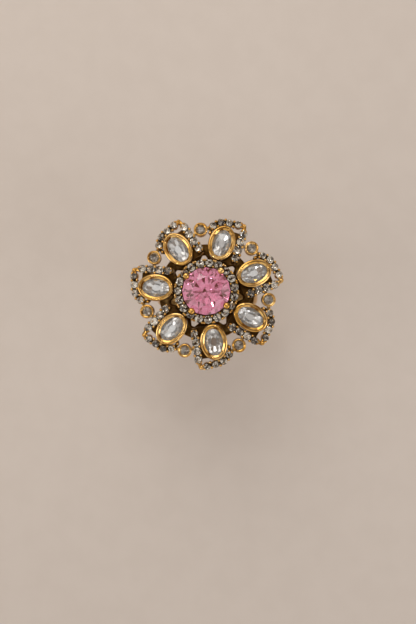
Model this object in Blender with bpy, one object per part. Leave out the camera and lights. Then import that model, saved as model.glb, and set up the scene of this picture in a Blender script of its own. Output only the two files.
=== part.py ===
"""Cocktail ring: a seven-petal pinwheel flower of set stones on a plain tapered shank.

Metres, +Z up. The origin is the centre of the finger hole, the finger lies along Y, and the flower
faces +Z. Each petal is laid out flat in its own tilted frame, whose X points away from the flower's
middle, and the seven frames are turned about Z.
"""
import math

import bmesh
import bpy
import numpy as np
from mathutils import Matrix, Vector

# Clearances
SEAT_GAP = 0.00008
SOLDER_GAP = 0.00012
NESTLE_GAP = 0.00025

# Shank
FINGER_RADIUS = 0.0091
BAND_THICKNESS = 0.0016
BAND_WIDTH = 0.0032
SHOULDER_THICKNESS = 0.0019
SHOULDER_WIDTH = 0.0076

# Centre stone
CENTRE_DIAMETER = 0.0100
CENTRE_CROWN = 0.0016
CENTRE_GIRDLE = 0.0002
CENTRE_PAVILION = 0.0043
CULET_CLEAR = 0.0005

# Basket and claws
CLAW_COUNT = 4
CLAW_TURN = math.radians(54.0)
CLAW_RADIUS = 0.00042
CLAW_BALL_RADIUS = 0.00076
CLAW_BALL_RISE = 0.00065
BASE_RING_WALL = 0.0008
BASKET_WIRE_RADIUS = 0.00036

# Small round stones of the halo and of the leaves
MELEE_DIAMETER = 0.0015
MELEE_CROWN = 0.00032
MELEE_GIRDLE = 0.00006
MELEE_PAVILION = 0.00062
MELEE_LIFT = 0.00012
RAIL_EDGE = 0.00005
BEAD_RADIUS = 0.00027

# Halo
HALO_GAP = 0.00013
HALO_DROP = 0.0012
HALO_DEPTH = 0.0017
HALO_SPACING = 0.00047
HALO_TURN = math.radians(8.5)

# Petals
PETAL_COUNT = 7
PETAL_TURN = math.radians(175.67)
PETAL_TILT = math.radians(12.0)
PETAL_DROP = 0.0012
PETAL_STONE_LENGTH = 0.0060
PETAL_STONE_WIDTH = 0.0040
PETAL_CROWN = 0.00062
PETAL_GIRDLE = 0.0001
PETAL_PAVILION = 0.0009
PETAL_WALL = 0.00082
PETAL_LIP = 0.00024
PETAL_RIM = 0.00085
PETAL_DEPTH = 0.0017
PETAL_BACK = 0.00045

# Accents between the petals
ACCENT_DIAMETER = 0.0020
ACCENT_CROWN = 0.0004
ACCENT_GIRDLE = 0.00008
ACCENT_PAVILION = 0.0008
ACCENT_WALL = 0.00047
ACCENT_LIP = 0.00012
ACCENT_RIM = 0.0006
ACCENT_DEPTH = 0.0015
ACCENT_BACK = 0.0004
ACCENT_DROP = 0.0005
ACCENT_REACH = 0.0025

# Leaves of small stones
LEAF_TOP = 0.0001
LEAF_DEPTH = 0.0014
LEAF_PITCH = 0.00186
LEAF_ARC_STONES = 4
LEAF_STRIP_STONES = 4
LEAF_FLARE = 0.00045
LEAF_TIP_RISE = 0.0003
ARC_SETBACK = 0.0013
STRIP_SETBACK = 0.0019
TIP_BEAD_RADIUS = 0.00048
ROOT_WIDTH = 0.0009

# Gallery
HUB_WALL = 0.0009
HUB_RADIUS = 0.0034
HUB_HEIGHT = 0.0010
HUB_SKIRT = 0.0012
RIB_WIDTH = 0.0011
RIB_THICKNESS = 0.0010
RIB_REACH = 0.0026
BRACE_REACH = 0.0015
BRACE_WIDTH = 0.0017
BRACE_THICKNESS = 0.0008

# Fineness of the round forms
BAND_STEPS = 30
HUB_SIDES = 20
BRACE_SIDES = 14
OVAL_SIDES = 16
ROUND_SIDES = 8
TUBE_SIDES = 6
GEM_SIDES = 8
BEAD_SIDES = 4
SMOOTH_ANGLE = math.radians(35.0)

# Shape of the stones, as shares of their half width
TABLE_SHARE = 0.58
OVAL_TABLE_SHARE = 0.72
STAR_SHARE = 0.78
LOWER_HALF_SHARE = 0.24

# Shape of the metal, as shares of the size each is multiplied by
BAND_PROFILE_SHARES = ((0.80, 0.0), (1.0, 0.25), (1.0, 0.70), (0.75, 0.93), (0.40, 1.0))
BEAD_SHOULDER_SHARES = (0.85, 0.60)
BEAD_CREST_SHARE = 1.15
CLAW_OVERHANG_SHARE = 0.3
CLAW_BALL_ANGLES = (-55.0, -25.0, 10.0, 45.0, 72.0)
WIRE_CLIMB_SHARE = 0.55
RIB_CORNER_SHARES = ((1.0, 0.4), (0.5, 1.0), (-0.5, 1.0), (-1.0, 0.4), (-0.5, -1.0), (0.5, -1.0))
RIB_TAPER_SHARE = 0.6
CUP_FOOT_SHARE = 0.55
CUP_BELLY_SHARE = 0.25
CUP_SHOULDER_SHARES = (0.06, 0.60)
CUP_CREST_SHARE = 0.40
CUP_LIP_SHARE = 0.62
CUP_FLOOR_SHARE = 0.75
CAP_ANGLES = (45.0, 90.0, 135.0)
ARC_ANGLES = (-6.0, 90.0)
ARC_SPANS = 32
END_GRAIN_SHARE = 0.8

# Sizes worked out from the driving ones
SHANK_TOP = FINGER_RADIUS + SHOULDER_THICKNESS
CENTRE_RADIUS = CENTRE_DIAMETER / 2
CENTRE_Z = SHANK_TOP + CULET_CLEAR + CENTRE_PAVILION
MELEE_RADIUS = MELEE_DIAMETER / 2
RAIL_WIDTH = MELEE_DIAMETER + 2 * RAIL_EDGE
GRAIN_OFFSET = MELEE_RADIUS + RAIL_EDGE / 2 - BEAD_RADIUS
HALO_RADIUS = CENTRE_RADIUS + HALO_GAP + RAIL_WIDTH / 2
HALO_OUTER = HALO_RADIUS + RAIL_WIDTH / 2
HALO_TOP = CENTRE_Z - HALO_DROP
HALO_COUNT = round(2 * math.pi * HALO_RADIUS / (MELEE_DIAMETER + HALO_SPACING))
PETAL_HALF_LENGTH = PETAL_STONE_LENGTH / 2 + PETAL_WALL
PETAL_HALF_WIDTH = PETAL_STONE_WIDTH / 2 + PETAL_WALL
PETAL_RADIUS = HALO_OUTER + SOLDER_GAP + PETAL_HALF_LENGTH * math.cos(PETAL_TILT)
PETAL_Z = HALO_TOP - PETAL_DROP
PETAL_STEP = 2 * math.pi / PETAL_COUNT
ACCENT_HALF = ACCENT_DIAMETER / 2 + ACCENT_WALL
STRIP_Y = -(PETAL_HALF_WIDTH + SOLDER_GAP + RAIL_WIDTH / 2)
HUB_BORE = HUB_RADIUS - HUB_WALL
HUB_TOP = SHANK_TOP + HUB_HEIGHT
BRACE_RADIUS = HALO_OUTER + BRACE_REACH
BASE_RING_OUTER = HUB_BORE - SOLDER_GAP
BASE_RING_TOP = HUB_TOP + SOLDER_GAP + CLAW_RADIUS
CLAW_FOOT = (BASE_RING_OUTER - BASE_RING_WALL / 2, BASE_RING_TOP)
CLAW_ELBOW = (CENTRE_RADIUS + SEAT_GAP + CLAW_RADIUS, CENTRE_Z)


def clear_scene():
    for item in list(bpy.data.objects):
        bpy.data.objects.remove(item, do_unlink=True)


def make_material(name, colour, roughness, metallic, transmission=0.0):
    finish = bpy.data.materials.new(name)
    finish.use_nodes = True
    shader = finish.node_tree.nodes["Principled BSDF"]
    shader.inputs["Base Color"].default_value = (*colour, 1.0)
    shader.inputs["Roughness"].default_value = roughness
    shader.inputs["Metallic"].default_value = metallic
    shader.inputs["Transmission Weight"].default_value = transmission
    return finish


def skin(rings, closed=False):
    """Mesh through successive rings of points; a ring of one point is an apex, and ends are capped."""
    shape = bmesh.new()
    loops = [[shape.verts.new(point) for point in ring] for ring in rings]
    pairs = list(zip(loops, loops[1:]))
    if closed:
        pairs.append((loops[-1], loops[0]))
    for low, high in pairs:
        count = max(len(low), len(high))
        for k in range(count):
            after = (k + 1) % count
            lower = [low[k % len(low)], low[after % len(low)]]
            upper = [high[after % len(high)], high[k % len(high)]]
            shape.faces.new(list(dict.fromkeys(lower + upper)))
    if not closed:
        for loop in (loops[0], loops[-1]):
            if len(loop) > 2:
                shape.faces.new(loop)
    bmesh.ops.recalc_face_normals(shape, faces=shape.faces)
    mesh = bpy.data.meshes.new("skin")
    shape.to_mesh(mesh)
    shape.free()
    return mesh


def joined(meshes):
    """One mesh that holds several separate shells, for a Boolean to read."""
    shape = bmesh.new()
    for mesh in meshes:
        shape.from_mesh(mesh)
    mesh = bpy.data.meshes.new("joined")
    shape.to_mesh(mesh)
    shape.free()
    return mesh


def moved(mesh, matrix):
    copy = mesh.copy()
    copy.transform(matrix)
    return copy


def combined(base, steps):
    """Mesh of base after a chain of Booleans, each step an operation and the mesh it works with."""
    worker = bpy.data.objects.new("worker", base)
    bpy.context.collection.objects.link(worker)
    tools = []
    for operation, mesh in steps:
        tool = bpy.data.objects.new("tool", mesh)
        bpy.context.collection.objects.link(tool)
        tools.append(tool)
        step = worker.modifiers.new(operation.lower(), "BOOLEAN")
        step.operation = operation
        step.solver = "EXACT"
        step.use_self = True
        step.object = tool
    graph = bpy.context.evaluated_depsgraph_get()
    mesh = bpy.data.meshes.new_from_object(worker.evaluated_get(graph))
    for item in [worker, *tools]:
        bpy.data.objects.remove(item, do_unlink=True)
    return mesh


def circle(radius, height, sides, turn=0.0):
    return oval(radius, radius, height, sides, turn)


def oval(half_length, half_width, height, sides, turn=0.0):
    angles = turn + 2 * np.pi * np.arange(sides) / sides
    return [(half_length * math.cos(a), half_width * math.sin(a), height) for a in angles]


def lathe(profile, sides, turn=0.0):
    """Ring turned about Z from a closed profile of radius and height."""
    angles = turn + 2 * np.pi * np.arange(sides) / sides
    rings = [[(r * math.cos(a), r * math.sin(a), z) for r, z in profile] for a in angles]
    return skin(rings, closed=True)


def tube(path, radii, sides):
    """Round tube in the XZ plane along path, with its own radius at each point."""
    points = [Vector((x, 0.0, z)) for x, z in path]
    rings = []
    for k, point in enumerate(points):
        along = (points[min(k + 1, len(points) - 1)] - points[max(k - 1, 0)]).normalized()
        across = Vector((0.0, 1.0, 0.0))
        outward = across.cross(along)
        angles = 2 * np.pi * np.arange(sides) / sides
        rings.append([point + radii[k] * (math.cos(a) * across + math.sin(a) * outward) for a in angles])
    return skin(rings)


def about_z(angle):
    return Matrix.Rotation(angle, 4, "Z")


def add_node(name, mesh, finish, parent=None, matrix=None, smooth=False):
    if smooth:
        mesh.shade_smooth()
        mesh.set_sharp_from_angle(angle=SMOOTH_ANGLE)
    node = bpy.data.objects.new(name, mesh)
    bpy.context.collection.objects.link(node)
    if not mesh.materials:
        mesh.materials.append(finish)
    node.parent = parent
    if matrix is not None:
        node.matrix_basis = matrix
    return node


def add_frame(name, matrix):
    frame = bpy.data.objects.new(name, None)
    frame.matrix_basis = matrix
    bpy.context.collection.objects.link(frame)
    return frame


# Stones

def single_cut(half_length, half_width, table_share, crown, girdle, pavilion, sides):
    """Stone with one row of crown facets and one of pavilion facets; the girdle's foot is at height 0."""
    turn = math.pi / sides
    return skin([
        [(0.0, 0.0, -pavilion)],
        oval(half_length, half_width, 0.0, sides, turn),
        oval(half_length, half_width, girdle, sides, turn),
        oval(table_share * half_length, table_share * half_width, girdle + crown, sides, turn),
    ])


def brilliant_cut(radius, crown, girdle, pavilion):
    """Round brilliant: table, stars, kites and halves above the girdle, mains and halves below it."""
    half = math.pi / GEM_SIDES
    table = TABLE_SHARE * radius
    star = STAR_SHARE * radius
    lower = LOWER_HALF_SHARE * radius
    star_height = girdle + crown * (radius - star * math.cos(half)) / (radius - table)
    lower_height = -pavilion * (1 - lower * math.cos(half) / radius)
    shape = bmesh.new()

    def ring(size, height, sides, turn=0.0):
        return [shape.verts.new(point) for point in circle(size, height, sides, turn)]

    top = ring(table, girdle + crown, GEM_SIDES)
    stars = ring(star, star_height, GEM_SIDES, half)
    edge = ring(radius, girdle, 2 * GEM_SIDES)
    foot = ring(radius, 0.0, 2 * GEM_SIDES)
    belly = ring(lower, lower_height, GEM_SIDES, half)
    culet = shape.verts.new((0.0, 0.0, -pavilion))
    shape.faces.new(top)
    for k in range(GEM_SIDES):
        after = (k + 1) % GEM_SIDES
        here, middle, there = 2 * k, 2 * k + 1, 2 * after
        shape.faces.new((top[k], stars[k], top[after]))
        shape.faces.new((top[after], stars[k], edge[there], stars[after]))
        shape.faces.new((culet, belly[k], foot[there], belly[after]))
        for start, end in ((here, middle), (middle, there)):
            shape.faces.new((stars[k], edge[start], edge[end]))
            shape.faces.new((edge[start], foot[start], foot[end], edge[end]))
            shape.faces.new((belly[k], foot[start], foot[end]))
    bmesh.ops.recalc_face_normals(shape, faces=shape.faces)
    mesh = bpy.data.meshes.new("brilliant")
    shape.to_mesh(mesh)
    shape.free()
    return mesh


def melee():
    return single_cut(MELEE_RADIUS, MELEE_RADIUS, TABLE_SHARE, MELEE_CROWN, MELEE_GIRDLE,
                      MELEE_PAVILION, GEM_SIDES)


def melee_seat():
    """Cone that opens a seat for a small stone, wider than the stone by the seat gap on every side."""
    slope = MELEE_PAVILION / MELEE_RADIUS
    drop = SEAT_GAP * math.hypot(1.0, slope) / math.cos(math.pi / GEM_SIDES)
    mouth = MELEE_RADIUS + drop / slope
    return skin([
        [(0.0, 0.0, -MELEE_PAVILION - drop)],
        circle(mouth, 0.0, GEM_SIDES, math.pi / GEM_SIDES),
        circle(mouth, MELEE_CROWN, GEM_SIDES, math.pi / GEM_SIDES),
    ])


def melee_crown():
    """The part of a small stone that stands out of a rail, rooted in the rail below it."""
    turn = math.pi / GEM_SIDES
    top = MELEE_LIFT + MELEE_GIRDLE
    return skin([
        circle(MELEE_RADIUS, -MELEE_PAVILION, GEM_SIDES, turn),
        circle(MELEE_RADIUS, top, GEM_SIDES, turn),
        circle(TABLE_SHARE * MELEE_RADIUS, top + MELEE_CROWN, GEM_SIDES, turn),
    ])


def bead(radius):
    """Small domed grain of metal that stands on height 0 and is rooted in the rail below it."""
    waist, shoulder = BEAD_SHOULDER_SHARES
    return skin([
        circle(radius, -radius, BEAD_SIDES),
        circle(waist * radius, shoulder * radius, BEAD_SIDES),
        [(0.0, 0.0, BEAD_CREST_SHARE * radius)],
    ])


# Shank, gallery and basket

def band_section(half_width, thickness):
    """Flat inside, softly domed outside, as pairs of place across the band and height off the finger."""
    right = [(half_width * across, thickness * up) for across, up in BAND_PROFILE_SHARES]
    left = [(-across, up) for across, up in reversed(right)]
    return right + left


def shank_mesh():
    """Band lofted round the finger, growing from the palm side to the shoulders under the flower."""
    rings = []
    for k in range(BAND_STEPS):
        angle = 2 * math.pi * k / BAND_STEPS
        rise = (1 - math.cos(angle)) / 2
        half_width = (BAND_WIDTH + (SHOULDER_WIDTH - BAND_WIDTH) * rise ** 2) / 2
        thickness = BAND_THICKNESS + (SHOULDER_THICKNESS - BAND_THICKNESS) * rise
        direction = Vector((math.sin(angle), 0.0, -math.cos(angle)))
        section = band_section(half_width, thickness)
        rings.append([(FINGER_RADIUS + up) * direction + Vector((0.0, across, 0.0))
                      for across, up in section])
    return skin(rings, closed=True)


def petal_matrix(k):
    place = Matrix.Translation((PETAL_RADIUS, 0.0, PETAL_Z))
    return about_z(PETAL_TURN - k * PETAL_STEP) @ place @ Matrix.Rotation(PETAL_TILT, 4, "Y")


def rib_path():
    """Middle line of a rib before the petals are turned: out from the hub's wall, then under a petal."""
    under = -(PETAL_DEPTH + SOLDER_GAP + RIB_THICKNESS / 2)
    tilted = Matrix.Translation((PETAL_RADIUS, 0.0, PETAL_Z)) @ Matrix.Rotation(PETAL_TILT, 4, "Y")
    inner = tilted @ Vector((-PETAL_HALF_LENGTH, 0.0, under))
    outer = tilted @ Vector((RIB_REACH, 0.0, under))
    root = Vector((HUB_RADIUS - HUB_WALL / 2, 0.0, HUB_TOP - RIB_THICKNESS / 2 - SOLDER_GAP))
    bend = Vector((HUB_RADIUS + RIB_THICKNESS / 2, 0.0, root.z))
    return [root, bend, inner, outer]


def rib_mesh():
    """Flat bar along a rib's middle line, tapered towards its outer end."""
    path = rib_path()
    widths = [RIB_WIDTH, RIB_WIDTH, RIB_WIDTH, RIB_TAPER_SHARE * RIB_WIDTH]
    rings = []
    for k, point in enumerate(path):
        along = (path[min(k + 1, len(path) - 1)] - path[max(k - 1, 0)]).normalized()
        across = Vector((0.0, widths[k] / 2, 0.0))
        up = RIB_THICKNESS / 2 * along.cross(Vector((0.0, 1.0, 0.0)))
        rings.append([point + a * across - b * up for a, b in RIB_CORNER_SHARES])
    return skin(rings)


def brace_mesh():
    """Flat ring that ties the ribs together where it crosses their middle lines."""
    path = rib_path()
    middle = np.interp(BRACE_RADIUS, [point.x for point in path], [point.z for point in path])
    outer, inner = BRACE_RADIUS + BRACE_WIDTH / 2, BRACE_RADIUS - BRACE_WIDTH / 2
    foot, top = middle - BRACE_THICKNESS / 2, middle + BRACE_THICKNESS / 2
    return lathe([(outer, foot), (outer, top), (inner, top), (inner, foot)], BRACE_SIDES, PETAL_TURN)


def gallery_mesh():
    """Hub that saddles the shank, with one rib for each petal and a ring that ties the ribs."""
    foot = SHANK_TOP - HUB_SKIRT
    outside = [(HUB_RADIUS, foot), (HUB_RADIUS, HUB_TOP)]
    inside = [(HUB_BORE, HUB_TOP), (HUB_BORE, foot)]
    hub = lathe(outside + inside, HUB_SIDES)
    rib = rib_mesh()
    ribs = [moved(rib, about_z(PETAL_TURN - k * PETAL_STEP)) for k in range(PETAL_COUNT)]
    reach = 2 * HUB_RADIUS
    saddle_radius = (SHANK_TOP + SOLDER_GAP) / math.cos(math.pi / BAND_STEPS)
    saddle = skin([circle(saddle_radius, -reach, BAND_STEPS), circle(saddle_radius, reach, BAND_STEPS)])
    saddle.transform(Matrix.Rotation(math.pi / 2, 4, "X"))
    return combined(hub, [("UNION", joined(ribs)), ("UNION", brace_mesh()), ("DIFFERENCE", saddle)])


def claw_mesh():
    """Round claw from the base ring up along the stone, over its girdle and into a ball tip."""
    ball = (CENTRE_RADIUS + CLAW_OVERHANG_SHARE * CLAW_RADIUS, CENTRE_Z + CENTRE_GIRDLE + CLAW_BALL_RISE)
    path = [CLAW_FOOT, CLAW_ELBOW]
    radii = [CLAW_RADIUS, CLAW_RADIUS]
    lean = (Vector(ball) - Vector(CLAW_ELBOW)).normalized()
    for angle in np.radians(CLAW_BALL_ANGLES):
        path.append((ball[0] + CLAW_BALL_RADIUS * math.sin(angle) * lean.x,
                     ball[1] + CLAW_BALL_RADIUS * math.sin(angle) * lean.y))
        radii.append(CLAW_BALL_RADIUS * math.cos(angle))
    return tube(path, radii, TUBE_SIDES)


def basket_mesh():
    """Base ring and bearer wire joined by four claws, with a notch cut for the stone's edge."""
    outer, inner = BASE_RING_OUTER, BASE_RING_OUTER - BASE_RING_WALL
    foot, top = SHANK_TOP + SOLDER_GAP, BASE_RING_TOP
    base_ring = lathe([(outer, foot), (outer, top), (inner, top), (inner, foot)], HUB_SIDES)
    claw = claw_mesh()
    turns = [CLAW_TURN + 2 * math.pi * k / CLAW_COUNT for k in range(CLAW_COUNT)]
    claws = [moved(claw, about_z(turn)) for turn in turns]
    middle = Vector(CLAW_FOOT).lerp(Vector(CLAW_ELBOW), WIRE_CLIMB_SHARE)
    angles = 2 * np.pi * np.arange(TUBE_SIDES) / TUBE_SIDES
    section = [(middle.x + BASKET_WIRE_RADIUS * math.cos(a), middle.y + BASKET_WIRE_RADIUS * math.sin(a))
               for a in angles]
    wire = lathe(section, HUB_SIDES)
    sides = 2 * GEM_SIDES
    wide = (CENTRE_RADIUS + SEAT_GAP) / math.cos(math.pi / sides)
    burr = skin([
        [(0.0, 0.0, -CENTRE_PAVILION - 2 * SEAT_GAP)],
        circle(wide, -SEAT_GAP, sides),
        circle(wide, CENTRE_GIRDLE + SEAT_GAP, sides),
        circle(TABLE_SHARE * wide, CENTRE_GIRDLE + CENTRE_CROWN + 2 * SEAT_GAP, sides),
    ])
    burr.transform(Matrix.Translation((0.0, 0.0, CENTRE_Z)))
    return combined(base_ring, [("UNION", joined([wire, *claws])), ("DIFFERENCE", burr)])


# Halo

def halo_turns():
    return [HALO_TURN + 2 * math.pi * k / HALO_COUNT for k in range(HALO_COUNT)]


def halo_place(turn):
    return about_z(turn) @ Matrix.Translation((HALO_RADIUS, 0.0, HALO_TOP + MELEE_LIFT))


def halo_mesh():
    """Collar round the basket with a seat for each small stone and a grain between each pair."""
    inner, outer = HALO_RADIUS - RAIL_WIDTH / 2, HALO_OUTER
    foot = HALO_TOP - HALO_DEPTH
    section = [(outer, foot), (outer, HALO_TOP), (inner, HALO_TOP), (inner, foot)]
    collar = lathe(section, 2 * HALO_COUNT, HALO_TURN)
    seats = [moved(melee_seat(), halo_place(turn)) for turn in halo_turns()]
    step = math.pi / HALO_COUNT
    grain_place = Matrix.Translation((HALO_RADIUS + GRAIN_OFFSET, 0.0, HALO_TOP))
    grains = [moved(bead(BEAD_RADIUS), about_z(turn + step) @ grain_place) for turn in halo_turns()]
    return combined(collar, [("DIFFERENCE", joined(seats)), ("UNION", joined(grains))])


# Petals and accents

def bezel_mesh(stone, outline, height, sides):
    """Closed-back cup whose rim is rubbed over the stone's edge.

    stone is half length, half width, crown, girdle and the table's share; outline is wall and lip;
    height is rim, depth and back. The wall, lip and floor are insets of one oval.
    """
    half_length, half_width, crown, girdle, table_share = stone
    wall, lip = outline
    rim, depth, back = height
    shoulder_inset, shoulder_height = CUP_SHOULDER_SHARES
    lip_inset = wall + lip
    run = (1 - table_share) * half_width
    lip_under = girdle + crown * (lip + SEAT_GAP) / run + SEAT_GAP
    profile = [
        (CUP_FOOT_SHARE * wall, -depth),
        (0.0, -CUP_BELLY_SHARE * depth),
        (shoulder_inset * wall, shoulder_height * rim),
        (CUP_CREST_SHARE * wall, rim),
        (lip_inset, max(CUP_LIP_SHARE * rim, lip_under + SEAT_GAP)),
        (lip_inset, lip_under),
        (wall - SEAT_GAP, girdle + SEAT_GAP),
        (wall - SEAT_GAP, -2 * SEAT_GAP),
        (wall + CUP_FLOOR_SHARE * half_width, back - depth),
    ]
    outer_length, outer_width = half_length + wall, half_width + wall
    return skin([oval(outer_length - inset, outer_width - inset, level, sides) for inset, level in profile])


def petal_bezel_mesh():
    half_length, half_width = PETAL_STONE_LENGTH / 2, PETAL_STONE_WIDTH / 2
    stone = (half_length, half_width, PETAL_CROWN, PETAL_GIRDLE, OVAL_TABLE_SHARE)
    height = (PETAL_RIM, PETAL_DEPTH, PETAL_BACK)
    return bezel_mesh(stone, (PETAL_WALL, PETAL_LIP), height, OVAL_SIDES)


def accent_bezel_mesh():
    half = ACCENT_DIAMETER / 2
    stone = (half, half, ACCENT_CROWN, ACCENT_GIRDLE, TABLE_SHARE)
    height = (ACCENT_RIM, ACCENT_DEPTH, ACCENT_BACK)
    return bezel_mesh(stone, (ACCENT_WALL, ACCENT_LIP), height, ROUND_SIDES)


def petal_stone_mesh():
    return single_cut(PETAL_STONE_LENGTH / 2, PETAL_STONE_WIDTH / 2, OVAL_TABLE_SHARE, PETAL_CROWN,
                      PETAL_GIRDLE, PETAL_PAVILION, OVAL_SIDES)


def accent_stone_mesh():
    half = ACCENT_DIAMETER / 2
    return single_cut(half, half, TABLE_SHARE, ACCENT_CROWN, ACCENT_GIRDLE, ACCENT_PAVILION,
                      ROUND_SIDES)


def accent_matrix(k):
    """Place of an accent: against the outer side of a leaf's strip, out past the petals' middles."""
    sideways = STRIP_Y - RAIL_WIDTH / 2 - NESTLE_GAP - ACCENT_HALF
    radius = PETAL_RADIUS + ACCENT_REACH
    turn = PETAL_TURN - k * PETAL_STEP + math.asin(sideways / radius)
    place = Matrix.Translation((radius, 0.0, PETAL_Z - ACCENT_DROP))
    return about_z(turn) @ place @ Matrix.Rotation(PETAL_TILT, 4, "Y")


# Leaves

def leaf_paths():
    """Middle lines of the leaf's arc and strip in the petal's frame, both starting at the leaf's tip.

    The arc runs straight from the tip to the petal's end and then follows the bezel's outline at half
    a rail's width. The strip runs back along the petal's side.
    """
    reach = PETAL_HALF_LENGTH + SOLDER_GAP + RAIL_WIDTH / 2
    tip = np.array([reach + LEAF_FLARE, STRIP_Y + LEAF_TIP_RISE])
    angles = np.radians(np.linspace(*ARC_ANGLES, ARC_SPANS + 1))
    curve = np.column_stack([reach * np.cos(angles), -STRIP_Y * np.sin(angles)])
    arc = np.vstack([tip, curve])
    shoulder = np.array([PETAL_HALF_LENGTH - LEAF_TIP_RISE, STRIP_Y])
    strip = np.vstack([tip, shoulder, [-2 * PETAL_HALF_LENGTH, STRIP_Y]])
    return arc, strip


def along_path(path, distances):
    """Points at the given distances along a path, and the direction across the path at each."""
    steps = np.linalg.norm(np.diff(path, axis=0), axis=1)
    length = np.concatenate([[0.0], np.cumsum(steps)])

    def at(where):
        return np.column_stack([np.interp(where, length, path[:, axis]) for axis in (0, 1)])

    points = at(distances)
    reach = RAIL_WIDTH / 4
    along = at(distances + reach) - at(distances - reach)
    along /= np.linalg.norm(along, axis=1)[:, None]
    across = np.column_stack([-along[:, 1], along[:, 0]])
    return points, across


def leg_outline(path, setback, stones, spans):
    """Both edges of one leg from its first stone to its far end, and the round cap that closes it."""
    half = RAIL_WIDTH / 2
    last = setback + (stones - 1) * LEAF_PITCH
    points, across = along_path(path, np.linspace(setback, last, spans))
    end, side = points[-1], across[-1]
    forward = np.array([side[1], -side[0]])
    cap = [end + half * (math.cos(t) * side + math.sin(t) * forward) for t in np.radians(CAP_ANGLES)]
    return points + half * across, np.array(cap), points - half * across


def root_reach():
    """How far in along its own X a leaf's strip runs, to end against the halo's wall."""
    side = -STRIP_Y - ROOT_WIDTH / 2
    end = math.sqrt((HALO_OUTER + SOLDER_GAP) ** 2 - side ** 2)
    lean = (LEAF_DEPTH - LEAF_TOP) * math.sin(PETAL_TILT)
    return (end - PETAL_RADIUS + lean) / math.cos(PETAL_TILT)


def crossing(edge, other):
    """Point where the line through an edge's first two points meets the same line of another edge."""
    first, second = edge[1] - edge[0], other[1] - other[0]
    shift = other[0] - edge[0]
    share = (shift[0] * second[1] - shift[1] * second[0]) / (first[0] * second[1] - first[1] * second[0])
    return edge[0] + share * first


def leaf_outline(arc, strip):
    """Plan of the hooked rail: up the arc's outer side, back inside it, down the strip and to the tip."""
    arc_in, arc_cap, arc_out = leg_outline(arc, ARC_SETBACK, LEAF_ARC_STONES, 7)
    strip_out, strip_cap, strip_in = leg_outline(strip, STRIP_SETBACK, LEAF_STRIP_STONES, 2)
    root = [(root_reach(), STRIP_Y + side * ROOT_WIDTH / 2) for side in (1, -1)]
    neck = strip_cap[1][0]
    root = [(neck, root[0][1]), *root, (neck, root[1][1])]
    tip = arc[0]
    ways = [(path[1] - tip) / np.linalg.norm(path[1] - tip) for path in (arc, strip)]
    inward = ways[0] + ways[1]
    point = tip - TIP_BEAD_RADIUS * inward / np.linalg.norm(inward)
    crotch = crossing(arc_in, strip_in)
    return np.vstack([point, arc_out, arc_cap[::-1], arc_in[::-1], crotch,
                      strip_in, strip_cap[2], root, strip_cap[0], strip_out[::-1]])


def leg_grains(path, setback, stones):
    """Places of the grains along both sides of one leg: between its stones and past its last one."""
    distances = setback + LEAF_PITCH * (np.arange(stones) + 0.5)
    distances[-1] = setback + LEAF_PITCH * (stones - 1) + END_GRAIN_SHARE * MELEE_RADIUS
    points, across = along_path(path, distances)
    return np.vstack([points + GRAIN_OFFSET * across, points - GRAIN_OFFSET * across])


def leaf_mesh():
    """Hooked rail with its stones, grains and tip bead, laid flat in the petal's frame."""
    arc, strip = leaf_paths()
    outline = leaf_outline(arc, strip)
    rail = skin([[(x, y, level) for x, y in outline] for level in (LEAF_TOP - LEAF_DEPTH, LEAF_TOP)])
    toppers = []
    legs = [(arc, ARC_SETBACK, LEAF_ARC_STONES), (strip, STRIP_SETBACK, LEAF_STRIP_STONES)]
    for path, setback, stones in legs:
        places, _ = along_path(path, setback + LEAF_PITCH * np.arange(stones))
        for x, y in places:
            toppers.append(moved(melee_crown(), Matrix.Translation((x, y, LEAF_TOP))))
        for x, y in leg_grains(path, setback, stones):
            toppers.append(moved(bead(BEAD_RADIUS), Matrix.Translation((x, y, LEAF_TOP))))
    tip_x, tip_y = arc[0]
    toppers.append(moved(bead(TIP_BEAD_RADIUS), Matrix.Translation((tip_x, tip_y, LEAF_TOP))))
    return combined(rail, [("UNION", joined(toppers))])


# Assembly

def build_ring():
    clear_scene()
    gold = make_material("antique gold", (0.72, 0.48, 0.17), 0.28, 1.0)
    pink = make_material("pink stone", (0.80, 0.30, 0.48), 0.03, 0.0, 0.85)
    crystal = make_material("clear crystal", (0.92, 0.91, 0.88), 0.03, 0.0, 0.85)

    add_node("shank", shank_mesh(), gold, smooth=True)
    add_node("gallery_frame", gallery_mesh(), gold, smooth=True)
    add_node("centre_basket", basket_mesh(), gold, smooth=True)
    centre = brilliant_cut(CENTRE_RADIUS, CENTRE_CROWN, CENTRE_GIRDLE, CENTRE_PAVILION)
    add_node("centre_stone", centre, pink, matrix=Matrix.Translation((0.0, 0.0, CENTRE_Z)))

    add_node("halo_rail", halo_mesh(), gold, smooth=True)
    halo_stone = melee()
    for k, turn in enumerate(halo_turns()):
        add_node(f"halo_stone_{k + 1:02d}", halo_stone, crystal, matrix=halo_place(turn))

    petal_bezel, petal_stone = petal_bezel_mesh(), petal_stone_mesh()
    accent_bezel, accent_stone = accent_bezel_mesh(), accent_stone_mesh()
    leaf = leaf_mesh()
    for k in range(PETAL_COUNT):
        petal = add_frame(f"petal_frame_{k + 1}", petal_matrix(k))
        add_node(f"petal_bezel_{k + 1}", petal_bezel, gold, parent=petal, smooth=True)
        add_node(f"petal_stone_{k + 1}", petal_stone, crystal, parent=petal)
        add_node(f"pave_leaf_{k + 1}", leaf, gold, parent=petal)
        accent = add_frame(f"accent_frame_{k + 1}", accent_matrix(k))
        add_node(f"accent_bezel_{k + 1}", accent_bezel, gold, parent=accent, smooth=True)
        add_node(f"accent_stone_{k + 1}", accent_stone, crystal, parent=accent)


build_ring()
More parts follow.
